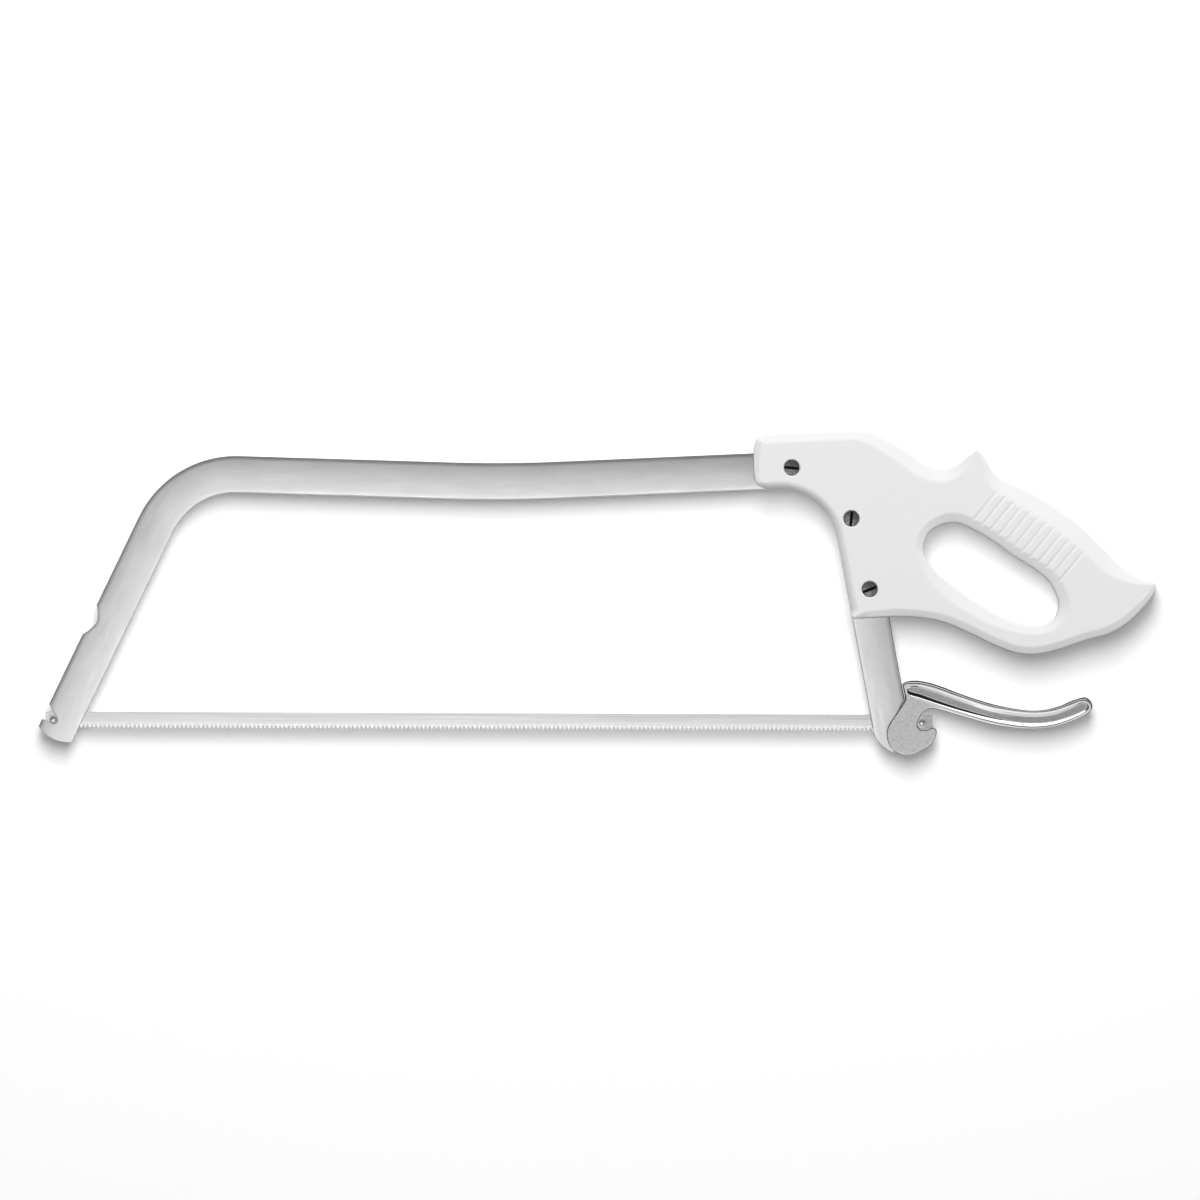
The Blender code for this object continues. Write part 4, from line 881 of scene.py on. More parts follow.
def make_blade(settings, steel):
    """The blade as a grid of columns at the corners of its teeth, from its back down to the edge line.

    A tooth's flanks run straight from a flat gullet to a narrow tip, y = depth * share - belly. The tips
    thin to an edge, and lean to either side in turn."""
    half, pitch, depth = settings.thickness / 2 / MM, settings.pitch / MM, settings.depth / MM
    root = depth - BLADE_BELLY
    count = int((SPAN - 2 * TOOTHLESS_END) / pitch)
    start = (SPAN - count * pitch) / 2
    number = np.arange(count)
    tooth_x = start + pitch * (number[:, None] + np.array(TOOTH_CORNERS))
    tooth_y = -BLADE_BELLY + depth * np.array(TOOTH_ROOTS)
    lean = np.where(number % 2 == 0, 1.0, -1.0)[:, None] * np.array(TOOTH_SET)
    rear = [start + count * pitch, SPAN + BLADE_REAR_TAIL]
    x = np.concatenate([[-BLADE_FRONT_TAIL], tooth_x.ravel(), rear])
    edge = np.concatenate([[root], np.tile(tooth_y, count), [root, root]])
    lean = np.concatenate([[0.0], lean.ravel(), [0.0, 0.0]])
    share = np.array(BLADE_ROWS)[:, None]
    y = np.vstack([BLADE_BACK + (root + GULLET_RIM - BLADE_BACK) * share * np.ones_like(edge), edge])
    thick = half * np.array(BLADE_THINNING)[:, None] * np.ones_like(y[:-1])
    thinned = (TOOTH_ROOT_THICKNESS - TOOTH_TIP_THICKNESS) * (edge + BLADE_BELLY) / depth
    thick = np.vstack([thick, half * (TOOTH_TIP_THICKNESS + thinned)])
    shift = np.zeros_like(y)
    shift[-1] = lean
    flat = np.stack([np.broadcast_to(x, y.shape), y], axis=-1)
    points = np.concatenate([placed(flat, thick + shift), placed(flat[::-1], (shift - thick)[::-1])])
    rows, columns = points.shape[:2]
    ring = points.transpose(1, 0, 2).reshape(-1, 3)
    uv = np.concatenate([flat, flat[::-1]]).transpose(1, 0, 2).reshape(-1, 2) * MM
    ends = np.arange(rows)
    faces = [grid(columns, rows, True), ends[None, ::-1], (ends + (columns - 1) * rows)[None]]
    blade = make_piece("blade", ring, faces, [steel], uv, TOOTH_CREASE)
    ends = [-HOLE_REACH, HOLE_REACH]
    holes = [turned((place, 0.0), [PIN_HOLE, PIN_HOLE], ends, 32) for place in (0.0, SPAN)]
    cut_away(blade, *joined(holes), TOOTH_CREASE)
    return blade


def make_pin(name, place, settings, steel):
    """A cross pin: a neck through the blade between two thick ends with rounded rims and domed faces."""
    reach, inner = settings.pin / 2 / MM, settings.pin / 2 / MM - PIN_RIM
    rim, dome = np.split(np.linspace(0.0, math.pi / 2 - 0.02, 9)[1:], [2])
    rim_foot = PIN_END - PIN_RIM_FALL
    radii = np.concatenate([[PIN_NECK, reach, reach], inner + PIN_RIM * np.cos(rim), inner * np.cos(dome)])
    heights = np.concatenate([
        [PIN_SHOULDER, PIN_SHOULDER, rim_foot], rim_foot + PIN_RIM_RISE * np.sin(rim),
        PIN_END - PIN_DOME + PIN_DOME * np.sin(dome),
    ])
    radii = np.concatenate([radii[::-1], radii])
    heights = np.concatenate([-heights[::-1], heights])
    return make_piece(name, *turned((place, 0.0), radii, heights, 40), [steel], None, FINE_CREASE)


def leg_back(height, gap):
    """A point on the rear leg's back edge at a height above the blade line, from the rear pin."""
    reach = HALF_BAR / math.cos(REAR_LEAN)
    return np.array([-REAR_SETBACK - height * math.tan(REAR_LEAN) + reach + gap, height])


def arm_sides(share):
    """The arm's lower and upper edges: its spine moved out by a share of the half height."""
    spine = np.array(ARM_SPINE)
    way = np.gradient(spine[:, :2], axis=0)
    way = way / np.linalg.norm(way, axis=1)[:, None]
    across = np.stack([-way[:, 1], way[:, 0]], axis=-1) * spine[:, 2:] * share
    return spine[:, :2] - across, spine[:, :2] + across


def lever_outline():
    """The lever's outline from its shoulder round the head and the hook, out along the arm and back."""
    lower, upper = arm_sides(1.0)
    foot, top = leg_back(SEAT_TOP, SEAT_GAP), leg_back(SHOULDER_TOP, SHOULDER_GAP)
    head = arc(HEAD_CENTRE, HEAD_RADIUS, *HEAD_TURN, 14)
    bowl = arc(HOOK_CENTRE, HOOK_BOWL, *BOWL_TURN, 6)
    points = np.vstack([
        top, (top + foot) / 2, foot, head, LEVER_HOOK, bowl, HOOK_ROOF, lower, ARM_TIP, upper[::-1], SHOULDER,
    ])
    return smooth_loop(points, OUTLINE_STEP)


def make_lever(settings, nickel, matt):
    """The lever: a rounded edge carried round its outline on leaning sides, flat faces with a sunk panel
    along the arm, and a head forked for the leg and slit for the blade.

    The panel's floor falls evenly from its tip to its root, and there to its lower side. Where its wall has a
    steep foot, it rises from that to a slope of a set tilt, and elsewhere in one slope, and a parabola levels
    it into the face. The edge is rounder on the arm, most of all on its upper side."""
    half, edge = settings.thickness / 2 / MM, settings.edge / MM
    panel = smooth_loop(PANEL_FLOOR, PANEL_STEP)
    outward, foot, slope = -left_normals(panel[:, :2]), panel[:, 2], panel[:, 3]
    crest = CREST_SHARE * slope
    brim = panel[:, :2] + outward * (foot + slope + crest)[:, None]
    outline = lever_outline()
    past_hook = np.clip(np.max(outline - HOOK_REACH, axis=1) / HOOK_RAMP, 0.0, 1.0)
    arm = np.clip((outline[:, 0] - ARM_START) / ARM_RAMP, 0.0, 1.0) * past_hook
    above = np.clip(0.5 - left_normals(outline)[:, 1], 0.0, 1.0)
    room = np.linalg.norm(outline[:, None] - brim, axis=2).min(axis=1) - RIM_ROOM
    radii = np.minimum(edge * (1 + arm * (ARM_TOP_ROUNDING * above + ARM_ROUNDING)), room)
    flat, height = edge_rings(outline, radii, half, 9, settings.draft / MM)
    flat = np.concatenate([outline[None], flat])
    height = np.concatenate([np.full((1, len(outline)), SIDE_FOOT), height])

    first, last = panel[:, 0].min(), panel[:, 0].max()
    lower_side = np.clip(0.5 - 0.7 * outward[:, 1], 0.0, 1.0)
    root = settings.root / MM * (ROOT_UPPER_SHARE + (1 - ROOT_UPPER_SHARE) * lower_side)
    deep = root + (settings.tip / MM - root) * (panel[:, 0] - first) / (last - first)
    bend = np.linspace(0.0, 1.0, 6)[:, None]
    top_fall = crest * math.tan(WALL_TILT) / 2
    brow = top_fall + slope * math.tan(WALL_TILT)
    brow = deep - (deep - brow) * np.clip(foot / WALL_FOOT, 0.0, 1.0)
    share = np.array(WALL_SHARES)[:, None]
    spread = np.vstack([
        foot + slope + crest + PANEL_BRIM, foot + slope + crest * (1 - bend), foot + slope * share,
        foot * share, np.full(len(panel), -FLOOR_INSET),
    ])
    down = np.vstack([
        np.zeros(len(panel)), top_fall * bend**2, top_fall + (brow - top_fall) * (1 - share),
        brow + (deep - brow) * (1 - share), deep,
    ])
    walls = panel[:, :2] + outward * spread[..., None]
    wall_height = half - down
    count, wide = len(outline), len(panel)
    sheet = np.vstack([flat.reshape(-1, 2), walls.reshape(-1, 2)])
    level = np.concatenate([height.ravel(), wall_height.ravel()])
    face_start = (len(flat) - 1) * count
    panel_start = len(flat) * count
    floor_start = panel_start + (len(walls) - 1) * wide
    face_ids = np.concatenate([face_start + np.arange(count), panel_start + np.arange(wide)])
    floor_ids = floor_start + np.arange(wide)
    upper_points = placed(sheet, level, REAR_PIN)
    lower_points = placed(sheet, -level, REAR_PIN)
    face = facing(upper_points, face_ids[cap([flat[-1], walls[0]])], True)
    bottom = facing(upper_points, floor_ids[cap([walls[-1]])], True)
    sides = grid(len(flat), count, True)
    slopes = grid(len(walls), wide, True, panel_start)
    total = len(sheet)
    join = np.stack([np.arange(count), np.roll(np.arange(count), -1)], axis=-1)
    band = np.concatenate([join[:, ::-1], join + total], axis=1)
    faces = [sides, face, slopes, bottom]
    faces += [group[:, ::-1] + total for group in faces] + [band]
    outside = np.repeat([[1.0, 0.0], [0.0, 0.0]], (flat.size // 2, walls.size // 2), axis=0)
    points, uv = np.vstack([upper_points, lower_points]), np.vstack([outside, outside])
    lever = make_piece("lever", points, faces, [nickel, matt], uv, FINE_CREASE, (3, 7))

    axis = (LEVER_AXIS - REAR_PIN)[:2] / MM
    corner = leg_back(SEAT_TOP, SEAT_GAP)
    offset = corner - axis
    touch = math.atan2(offset[1], offset[0]) + math.acos(HUB_RADIUS / np.linalg.norm(offset))
    clear = SEAT_END + math.degrees(LEVER_SWING) + FORK_CLEAR
    hub = arc(axis, HUB_RADIUS, math.degrees(touch), clear, 40)
    start = corner + (corner - hub[0]) / np.linalg.norm(corner - hub[0]) * FORK_RUN
    out = axis + FAR * np.array([math.cos(math.radians(clear)), math.sin(math.radians(clear))])
    fork = np.vstack([start, hub, out, axis + (0.0, -FAR), axis + (-FAR, -FAR), start + (-FAR, 0.0)])
    cut_away(lever, *prism(fork, -FORK_HALF, FORK_HALF, REAR_PIN), FINE_CREASE)
    cut_away(lever, *prism(BLADE_SWEEP, -BLADE_SLOT, BLADE_SLOT, REAR_PIN), FINE_CREASE)
    return lever


def linear(colour):
    """An sRGB hex colour as linear RGBA: c/12.92 up to 0.04045, then ((c + 0.055)/1.055)^2.4."""
    value = np.array([int(colour[index:index + 2], 16) for index in (1, 3, 5)]) / 255
    value = np.where(value <= 0.04045, value / 12.92, ((value + 0.055) / 1.055) ** 2.4)
    return (*value, 1.0)


def set_inputs(tree, node, inputs):
    """Sets each input of a node, or links it to a socket or to another node's first output."""
    for key, value in dict(inputs).items():
        if isinstance(value, bpy.types.Node):
            value = value.outputs[0]
        if isinstance(value, bpy.types.NodeSocket):
            tree.links.new(value, node.inputs[key])
        else:
            node.inputs[key].default_value = value


def add_node(tree, kind, inputs=(), stops=(), **settings):
    """Adds a node with its settings, its inputs and the stops of its colour ramp.

    A Map Range's inputs 1 and 2 are the ends of its range, and 3 and 4 what they become, nought and one where
    not given."""
    node = tree.nodes.new(kind)
    for key, value in settings.items():
        setattr(node, key, value)
    for index, (place, colour) in enumerate(stops):
        node.color_ramp.elements[index].position = place
        node.color_ramp.elements[index].color = colour
    set_inputs(tree, node, inputs)
    return node


def new_material(name):
    """An empty node material with its Principled shader."""
    material = bpy.data.materials.new(name)
    material.use_nodes = True
    return material, material.node_tree, material.node_tree.nodes["Principled BSDF"]


def stretched_noise(tree, scale, detail):
    """Noise on the piece's UV map, in metres, with its own scale along and across the grain."""
    where = add_node(tree, "ShaderNodeUVMap", uv_map="surface")
    grain = add_node(tree, "ShaderNodeMapping", {"Vector": where, "Scale": scale})
    return add_node(tree, "ShaderNodeTexNoise", {"Vector": grain, "Scale": 1.0, "Detail": detail})


def even_noise(tree, scale, detail):
    """Noise on the piece's own coordinates, in metres."""
    where = add_node(tree, "ShaderNodeTexCoord").outputs["Object"]
    return add_node(tree, "ShaderNodeTexNoise", {"Vector": where, "Scale": scale, "Detail": detail})


def shades(colour, *shares):
    """Stops for a colour ramp from pairs of a place on it and a share of the colour."""
    base = np.array(linear(colour))
    return [(place, tuple(base * (*np.broadcast_to(share, 3), 1.0))) for place, share in shares]


def mottled(tree, colour, scale, low, high):
    """A colour varied by fine noise between two shares of itself."""
    share = {"Value": even_noise(tree, scale, 3.0), **NOISE_ENDS, 3: low, 4: high}
    tint = {0: linear(colour)[:3], "Scale": add_node(tree, "ShaderNodeMapRange", share)}
    return add_node(tree, "ShaderNodeVectorMath", tint, operation="SCALE")


def way_faced(tree):
    """How level a face is in its piece's frame, from nought to one, and how far it looks along y."""
    way = add_node(tree, "ShaderNodeTexCoord").outputs["Normal"]
    normal = add_node(tree, "ShaderNodeSeparateXYZ", {"Vector": way})
    level = add_node(tree, "ShaderNodeMath", {0: normal.outputs["Z"]}, operation="ABSOLUTE")
    return level, normal.outputs["Y"]


def paint_edge_shade(tree, shader, colour, edge):
    """Paints shade into a finish: mixes a dark colour in where its faces are steep, but a third of it on
    upright ones.
    """
    steep = add_node(tree, "ShaderNodeMapRange", edge)
    side = add_node(tree, "ShaderNodeMapRange", {"Value": edge["Value"], 1: 0.1, 2: 0.4, 3: 0.35})
    share = add_node(tree, "ShaderNodeMath", {0: steep, 1: side}, operation="MULTIPLY")
    base = shader.inputs["Base Color"].links[0].from_socket
    tone = {"Fac": share, "Color1": base, "Color2": linear(colour)}
    set_inputs(tree, shader, {"Base Color": add_node(tree, "ShaderNodeMixRGB", tone)})


def brushed_stainless(colour):
    """Stainless bar brushed along its length on a belt: long fine scratches that spread a reflection across
    the bar, and painted shade on its steep edges, darkest along the top, where they would mirror the dark
    surround. The scratches are drawn about 0.7 mm wide, several times too coarse, so that they show."""
    material, tree, shader = new_material("stainless_brushed_lengthwise")
    fine = stretched_noise(tree, (45.0, 1400.0, 1.0), 3.0)
    broad = stretched_noise(tree, (40.0, 160.0, 1.0), 3.0)
    tones = shades(colour, (NOISE_ENDS[1], 0.91), (NOISE_ENDS[2], 1.0))
    set_inputs(tree, shader, {
        "Base Color": add_node(tree, "ShaderNodeValToRGB", {"Fac": broad}, tones),
        "Roughness": add_node(tree, "ShaderNodeMapRange", {"Value": fine, **NOISE_ENDS, 3: 0.29, 4: 0.38}),
        "Normal": add_node(tree, "ShaderNodeBump", {"Height": fine, "Strength": 0.03, "Distance": 0.0004}),
        "Metallic": 1.0,
    })
    level, along_y = way_faced(tree)
    # Painted shade on the steep edges: more on faces that look towards the top bar's side, where the surround
    # is dark
    top_side_shade = add_node(tree, "ShaderNodeMapRange", {"Value": along_y, 1: -0.1, 2: 0.15, 3: 0.25})
    paint_edge_shade(tree, shader, BOW_EDGE_PAINTED_SHADE, {"Value": level, 1: 0.93, 2: 0.7, 4: top_side_shade})
    return material


def ground_steel(colour):
    """Bright strip steel ground lengthwise: a smoother surface than the bow, with faint lengthwise lines, a
    painted sheen that grows towards the teeth, standing in for the brighter reflection of their bevels, and
    painted shade at its rear end, where the lever's hook shades it."""
    material, tree, shader = new_material("blade_steel_ground")
    lines = stretched_noise(tree, (10.0, 1500.0, 1.0), 2.0)
    where = add_node(tree, "ShaderNodeUVMap", uv_map="surface")
    place = add_node(tree, "ShaderNodeSeparateXYZ", {"Vector": where})
    # Painted sheen lightens the colour down towards the teeth, and painted shade darkens the rear end in the
    # hook
    down = {"Value": place.outputs["Y"], 1: BLADE_BACK * MM, 2: -TOOTH_SHEEN_LINE * MM, 3: 0.9, 4: 1.1}
    bright = add_node(tree, "ShaderNodeMapRange", down)
    start, stop = ((SPAN + past) * MM for past in REAR_END_PAINTED_SHADE)
    end = {"Value": place.outputs["X"], 1: start, 2: stop, 3: bright, 4: 0.68}
    tint = {0: linear(colour)[:3], "Scale": add_node(tree, "ShaderNodeMapRange", end)}
    set_inputs(tree, shader, {
        "Base Color": add_node(tree, "ShaderNodeVectorMath", tint, operation="SCALE"),
        "Roughness": add_node(tree, "ShaderNodeMapRange", {"Value": lines, **NOISE_ENDS, 3: 0.25, 4: 0.36}),
        "Normal": add_node(tree, "ShaderNodeBump", {"Height": lines, "Strength": 0.04, "Distance": 0.0003}),
        "Metallic": 1.0,
    })
    return material


def white_polypropylene(colour):
    """Polypropylene moulded in a spark-eroded tool: a soft satin white with a fine even grain of about
    0.8 mm, drawn a little coarse so that it shows."""
    material, tree, shader = new_material("polypropylene_white_moulded")
    grain, cloud = even_noise(tree, 1250.0, 2.0), even_noise(tree, 28.0, 2.0)
    tones = shades(colour, (NOISE_ENDS[1], (0.985, 0.985, 0.98)), (NOISE_ENDS[2], 1.0))
    set_inputs(tree, shader, {
        "Base Color": add_node(tree, "ShaderNodeValToRGB", {"Fac": cloud}, tones),
        "Roughness": add_node(tree, "ShaderNodeMapRange", {"Value": cloud, **NOISE_ENDS, 3: 0.4, 4: 0.5}),
        "Normal": add_node(tree, "ShaderNodeBump", {"Height": grain, "Strength": 0.05, "Distance": 0.0003}),
        "IOR": 1.49,
    })
    return material


def plated(name, colour, low, high, grain, depth):
    """Nickel plate or polish over a cast or turned skin, whose soft unevenness shows through: strongly on the
    matt floor of the panel, and faintly on the polished rim and pins."""
    material, tree, shader = new_material(name)
    skin, cloud = even_noise(tree, 1 / grain, 3.0), even_noise(tree, 130.0, 2.0)
    set_inputs(tree, shader, {
        "Base Color": linear(colour),
        "Roughness": add_node(tree, "ShaderNodeMapRange", {"Value": cloud, **NOISE_ENDS, 3: low, 4: high}),
        "Normal": add_node(tree, "ShaderNodeBump", {"Height": skin, "Strength": depth, "Distance": 0.0004}),
        "Metallic": 1.0,
    })
    return material, tree, shader


def dull_head(tree, shader, colour):
    """Leaves the faces of the lever's head as they were tumbled, matt and mottled, below a line across the
    arm's root, with bright edges."""
    way = MATT_WAY / math.hypot(*MATT_WAY)
    start = (REAR_PIN[:2] + MATT_START * MM) @ way
    where = add_node(tree, "ShaderNodeTexCoord").outputs["Object"]
    depth = add_node(tree, "ShaderNodeVectorMath", {0: where, 1: (*way, 0.0)}, operation="DOT_PRODUCT")
    blend = MATT_BLEND * MM
    line = {"Value": depth.outputs["Value"], 1: start - blend, 2: start + blend}
    below = add_node(tree, "ShaderNodeMapRange", line)
    geometry = add_node(tree, "ShaderNodeNewGeometry").outputs["Normal"]
    normal = add_node(tree, "ShaderNodeSeparateXYZ", {"Vector": geometry})
    level = add_node(tree, "ShaderNodeMath", {0: normal.outputs["Z"]}, operation="ABSOLUTE")
    face = add_node(tree, "ShaderNodeMapRange", {"Value": level, 1: 0.9, 2: 0.98, 4: below})
    rough = {"Value": face, 3: shader.inputs["Roughness"].links[0].from_socket, 4: 0.48}
    bright = shader.inputs["Base Color"].default_value
    tone = {"Fac": face, "Color1": bright, "Color2": mottled(tree, colour, 700.0, 0.86, 1.1)}
    set_inputs(tree, shader, {
        "Base Color": add_node(tree, "ShaderNodeMixRGB", tone),
        "Roughness": add_node(tree, "ShaderNodeMapRange", rough),
    })


def paint_lever_side_shade(tree, shader):
    """Paints shade into the plating on steep sides, standing in for the dark surround that they mirror: all
    of it on upper sides and the panel's lower wall, three quarters on outer lower sides, and none on the
    panel's upper wall."""
    where = add_node(tree, "ShaderNodeUVMap", uv_map="surface")
    outside = add_node(tree, "ShaderNodeSeparateXYZ", {"Vector": where}).outputs["X"]
    low = add_node(tree, "ShaderNodeMapRange", {"Value": outside, 3: 0.75, 4: 0.8})
    high = add_node(tree, "ShaderNodeMapRange", {"Value": outside, 3: 0.88, 4: 0.93})
    level, along_y = way_faced(tree)
    least = add_node(tree, "ShaderNodeMath", {0: outside, 1: 0.75}, operation="MULTIPLY")
    most = add_node(tree, "ShaderNodeMapRange", {"Value": along_y, 1: -0.5, 2: -0.2, 3: least})
    paint_edge_shade(tree, shader, LEVER_SIDE_PAINTED_SHADE, {"Value": level, 1: high, 2: low, 4: most})


def browned_steel(colour, face):
    """Turned steel screws, oiled and darkened: worn brighter in patches, with painted shade, near black, in
    the slots below the level of the heads' faces."""
    material, tree, shader = new_material("screw_steel_darkened")
    wear = even_noise(tree, 700.0, 4.0)
    where = add_node(tree, "ShaderNodeTexCoord").outputs["Object"]
    spot = add_node(tree, "ShaderNodeSeparateXYZ", {"Vector": where})
    level = add_node(tree, "ShaderNodeMath", {0: spot.outputs["Z"], 1: MIDDLE}, operation="SUBTRACT")
    level = add_node(tree, "ShaderNodeMath", {0: level}, operation="ABSOLUTE")
    # Painted shade in the slots: near black below the heads' faces, where the slot walls shade them
    low, high = (face - depth for depth in SLOT_SHADE_DEPTHS)
    above_slot_shade = add_node(tree, "ShaderNodeMapRange", {"Value": level, 1: low, 2: high})
    tones = shades(colour, (0.4, 0.7), (0.65, 1.2))
    tone = add_node(tree, "ShaderNodeValToRGB", {"Fac": wear}, tones)
    worn = {"Fac": above_slot_shade, "Color1": linear(SLOT_PAINTED_SHADE), "Color2": tone}
    set_inputs(tree, shader, {
        "Base Color": add_node(tree, "ShaderNodeMixRGB", worn),
        "Roughness": add_node(tree, "ShaderNodeMapRange", {"Value": wear, **NOISE_ENDS, 3: 0.5, 4: 0.32}),
        "Normal": add_node(tree, "ShaderNodeBump", {"Height": wear, "Strength": 0.15, "Distance": 0.0002}),
        "Metallic": 1.0,
    })
    return material


def stand_for(obj, node, body):
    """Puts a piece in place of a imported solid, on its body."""
    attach(obj, body)
    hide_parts(node)


class SAW_OT_bow(bpy.types.Operator):
    """Make the bow"""

    bl_idname = "saw.bow"
    bl_label = "Bow"

    def execute(self, context):
        settings = context.scene.saw_bow
        bow = make_bow(settings, brushed_stainless(settings.colour))
        stand_for(bow, "bow_frame", "frame")
        return {"FINISHED"}


class SAW_OT_handle(bpy.types.Operator):
    """Make both halves of the handle"""

    bl_idname = "saw.handle"
    bl_label = "Handle"

    def execute(self, context):
        settings, fasteners = context.scene.saw_handle, context.scene.saw_fasteners
        plastic = white_polypropylene(settings.colour)
        for name, side in (("front", 1), ("rear", -1)):
            half = make_handle_half(f"grip_{name}_half", side, settings, fasteners, plastic)
            stand_for(half, f"handle_{name}_half", "frame")
        return {"FINISHED"}


class SAW_OT_fasteners(bpy.types.Operator):
    """Make the handle's screws and sleeve nuts"""

    bl_idname = "saw.fasteners"
    bl_label = "Screws and sleeve nuts"

    def execute(self, context):
        settings, handle = context.scene.saw_fasteners, context.scene.saw_handle
        steel = browned_steel(settings.colour, handle.thickness / 2 - settings.recess)
        for spot in SCREWS:
            for kind, side in (("screw", 1), ("sleeve_nut", -1)):
                piece = make_fastener(f"{kind}_{spot}", kind, spot, side, settings, handle, steel)
                stand_for(piece, f"handle_{kind}_{spot}", "frame")
        return {"FINISHED"}


class SAW_OT_blade(bpy.types.Operator):
    """Make the blade and its cross pins"""

    bl_idname = "saw.blade"
    bl_label = "Blade and pins"

    def execute(self, context):
        settings = context.scene.saw_blade
        stand_for(make_blade(settings, ground_steel(settings.colour)), "saw_blade", "blade")
        pin_steel, _, _ = plated("pin_steel_polished", settings.colour, 0.16, 0.26, 0.0006, 0.05)
        for name, place in (("front", 0.0), ("rear", SPAN)):
            pin = make_pin(f"pin_{name}", place, settings, pin_steel)
            stand_for(pin, f"blade_pin_{name}", "blade")
        return {"FINISHED"}


class SAW_OT_lever(bpy.types.Operator):
    """Make the tension lever"""

    bl_idname = "saw.lever"
    bl_label = "Tension lever"

    def execute(self, context):
        settings = context.scene.saw_lever
        nickel, tree, shader = plated("nickel_plate_bright", settings.colour, 0.09, 0.14, 0.0011, 0.004)
        dull_head(tree, shader, settings.matt)
        paint_lever_side_shade(tree, shader)
        matt, tree, shader = plated("nickel_plate_matt", settings.floor, 0.5, 0.62, 0.0009, 0.3)
        set_inputs(tree, shader, {"Base Color": mottled(tree, settings.floor, 900.0, 0.86, 1.1)})
        stand_for(make_lever(settings, nickel, matt), "tension_lever", "lever")
        return {"FINISHED"}


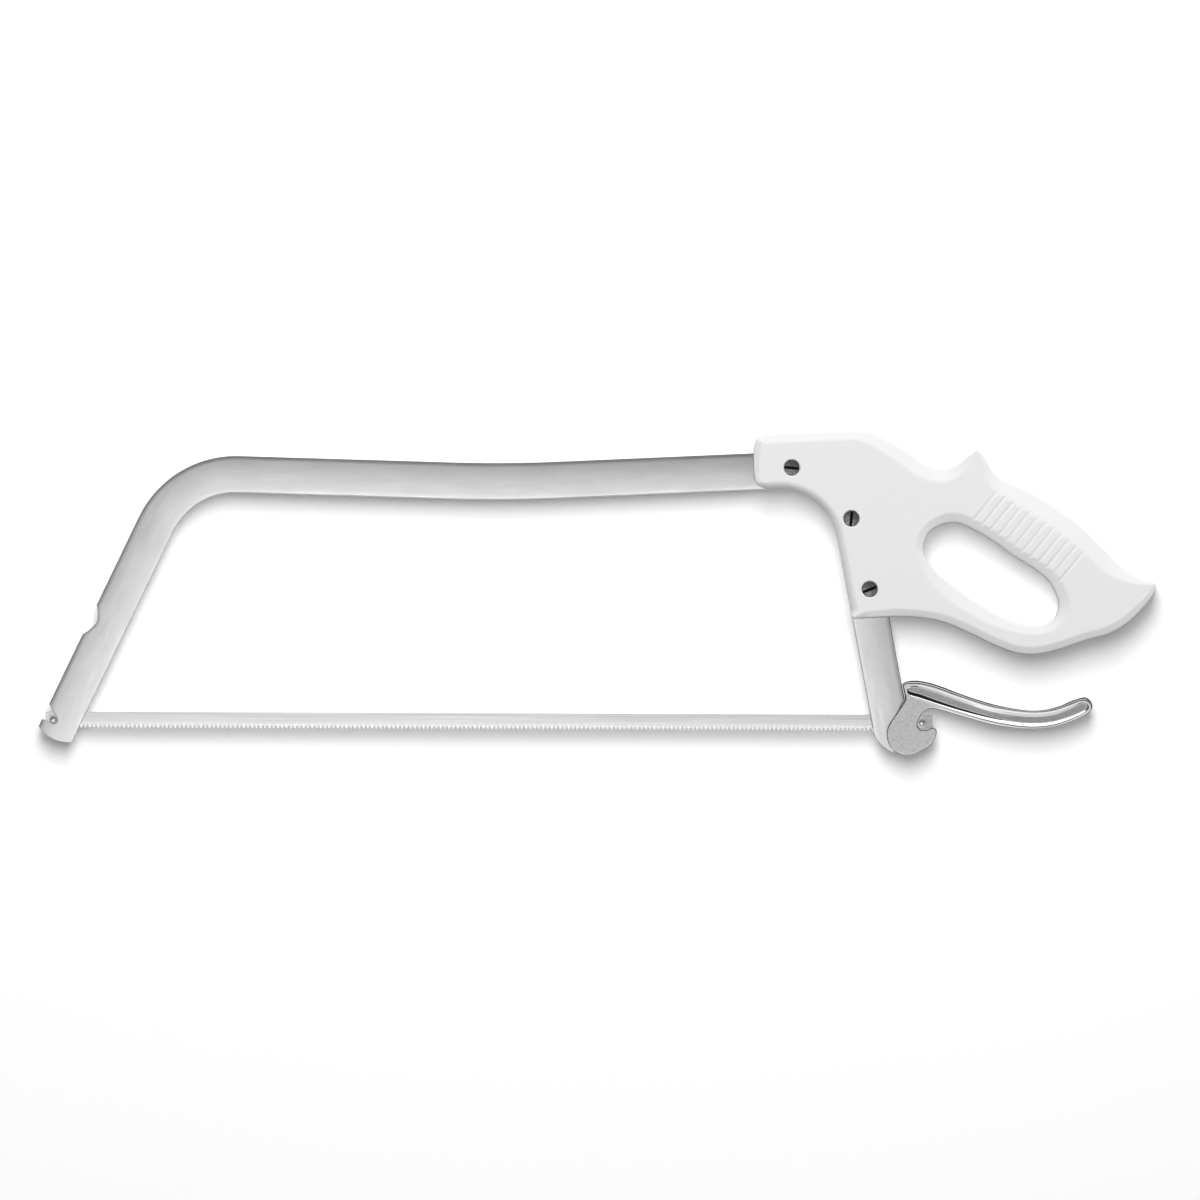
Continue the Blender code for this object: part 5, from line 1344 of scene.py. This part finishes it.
class SAW_OT_stage(bpy.types.Operator):
    """Make the floor, the lights and the camera"""

    bl_idname = "saw.stage"
    bl_label = "Stage"

    def execute(self, context):
        settings, scene = context.scene.saw_stage, context.scene
        material, tree, shader = new_material("paper_white_sweep")
        set_inputs(tree, shader, {
            "Base Color": linear(settings.floor), "Roughness": 0.9, "Specular IOR Level": 0.0,
            "Emission Color": linear(WHITE), "Emission Strength": settings.glow,
        })
        x, y = FLOOR_HALF * np.array([[-1.0, 1.0, 1.0, -1.0], [-1.0, -1.0, 1.0, 1.0]])
        corners = np.stack([x, y, np.full(4, -FLOOR_DROP)], axis=-1)
        make_piece("floor", corners, [np.array([[0, 1, 2, 3]])], [material])
        grips = [bpy.data.objects["grip_front_half"], bpy.data.objects["grip_rear_half"]]
        lever, bow = [bpy.data.objects["lever"]], [bpy.data.objects["bow"]]
        self.light("key_light", settings.key, (0.0, 1.268, 2.72), (1.39, 2.42)).visible_glossy = False
        rim = self.light("rim_strip", settings.rim, (1.2, 2.25, 1.59), (2.1, 0.68))
        rim.visible_glossy = False
        self.link(rim, grips, "INCLUDE")
        for name, power, place, size, pieces, state in (
            ("reflector_panel", settings.panel, (-0.14, -0.35, 1.5), (0.9, 1.0), lever, "EXCLUDE"),
            ("bow_card", settings.bow_card, (1.5, -0.8, 1.5), (1.6, 1.2), bow, "INCLUDE"),
            ("lever_panel", settings.lever, (0.23, -0.8, 1.5), (3.0, 2.0), lever, "INCLUDE"),
            ("lever_card", settings.card, (0.1, 1.6, 1.0), (1.8, 0.7), lever, "INCLUDE"),
            ("lever_low_card", settings.low_card, (0.25, -1.77, 0.68), (2.6, 0.75), lever, "INCLUDE"),
        ):
            panel = self.light(name, power, place, size)
            panel.visible_diffuse = False
            self.link(panel, pieces, state)
        world = bpy.data.worlds.new("studio")
        world.use_nodes = True
        tree = world.node_tree
        sky = add_node(tree, "ShaderNodeTexCoord").outputs["Generated"]
        way = add_node(tree, "ShaderNodeSeparateXYZ", {"Vector": sky})
        fade = {"Value": way.outputs["Y"], 1: -0.85, 2: 0.35, 3: settings.sky, 4: settings.shade}
        over = add_node(tree, "ShaderNodeMapRange", fade, interpolation_type="SMOOTHSTEP")
        low = {"Value": way.outputs["Z"], 1: 0.95, 2: 0.5, 3: over, 4: settings.horizon}
        strength = add_node(tree, "ShaderNodeMapRange", low)
        set_inputs(tree, tree.nodes["Background"], {"Color": linear(WHITE), "Strength": strength})
        world.cycles_visibility.diffuse = False
        scene.world = world
        scene.view_settings.view_transform = "Standard"
        camera = bpy.data.cameras.new("camera")
        camera.sensor_width = SENSOR
        camera.lens = SENSOR * settings.distance / settings.width
        camera.clip_end = CAMERA_REACH
        holder = bpy.data.objects.new("camera", camera)
        holder.location = (*settings.aim, settings.distance + MIDDLE)
        holder.rotation_euler = (0.0, 0.0, settings.roll)
        scene.collection.objects.link(holder)
        scene.camera = holder
        return {"FINISHED"}

    def light(self, name, power, place, size):
        """A soft rectangular lamp that looks at the middle of the saw and isn't seen itself."""
        lamp = bpy.data.lights.new(name, "AREA")
        lamp.shape = "RECTANGLE"
        lamp.size, lamp.size_y = size
        lamp.energy = power
        obj = bpy.data.objects.new(name, lamp)
        obj.location = place
        obj.rotation_euler = (-Vector(place)).to_track_quat("-Z", "Y").to_euler()
        obj.visible_camera = False
        bpy.context.scene.collection.objects.link(obj)
        return obj

    def link(self, lamp, pieces, state):
        """Lets a lamp light only some pieces, or all but those."""
        receivers = bpy.data.collections.new(f"{lamp.name}_receivers")
        for piece in pieces:
            receivers.objects.link(piece)
        for member in receivers.collection_objects:
            member.light_linking.link_state = state
        lamp.light_linking.receiver_collection = receivers


class SAW_PT_panel(bpy.types.Panel):
    """Sizes, colours and makers of the saw's pieces"""

    bl_label = "Butcher Saw"
    bl_idname = "SAW_PT_panel"
    bl_space_type = "VIEW_3D"
    bl_region_type = "UI"
    bl_category = "Saw"

    def draw(self, context):
        for name, operator in MAKERS.items():
            box = self.layout.box()
            settings = getattr(context.scene, f"saw_{name}")
            for prop in settings.bl_rna.properties:
                if prop.identifier not in {"name", "rna_type"}:
                    box.prop(settings, prop.identifier)
            box.operator(operator.bl_idname)


MAKERS = {
    "bow": SAW_OT_bow, "handle": SAW_OT_handle, "fasteners": SAW_OT_fasteners,
    "blade": SAW_OT_blade, "lever": SAW_OT_lever, "stage": SAW_OT_stage,
}
SETTINGS = {
    "bow": SawBow, "handle": SawHandle, "fasteners": SawFasteners,
    "blade": SawBlade, "lever": SawLever, "stage": SawStage,
}


def register():
    for name, group in SETTINGS.items():
        bpy.utils.register_class(group)
        setattr(bpy.types.Scene, f"saw_{name}", PointerProperty(type=group))
    for operator in MAKERS.values():
        bpy.utils.register_class(operator)
    bpy.utils.register_class(SAW_PT_panel)


def unregister():
    bpy.utils.unregister_class(SAW_PT_panel)
    for operator in MAKERS.values():
        bpy.utils.unregister_class(operator)
    for name, group in SETTINGS.items():
        delattr(bpy.types.Scene, f"saw_{name}")
        bpy.utils.unregister_class(group)


def main():
    """Makes every piece in turn."""
    register()
    for obj in list(bpy.data.objects):
        if obj.type in {"CAMERA", "LIGHT"}:
            bpy.data.objects.remove(obj)
    for operator in MAKERS.values():
        getattr(bpy.ops.saw, operator.bl_idname.split(".")[1])()


if __name__ == "__main__":
    main()
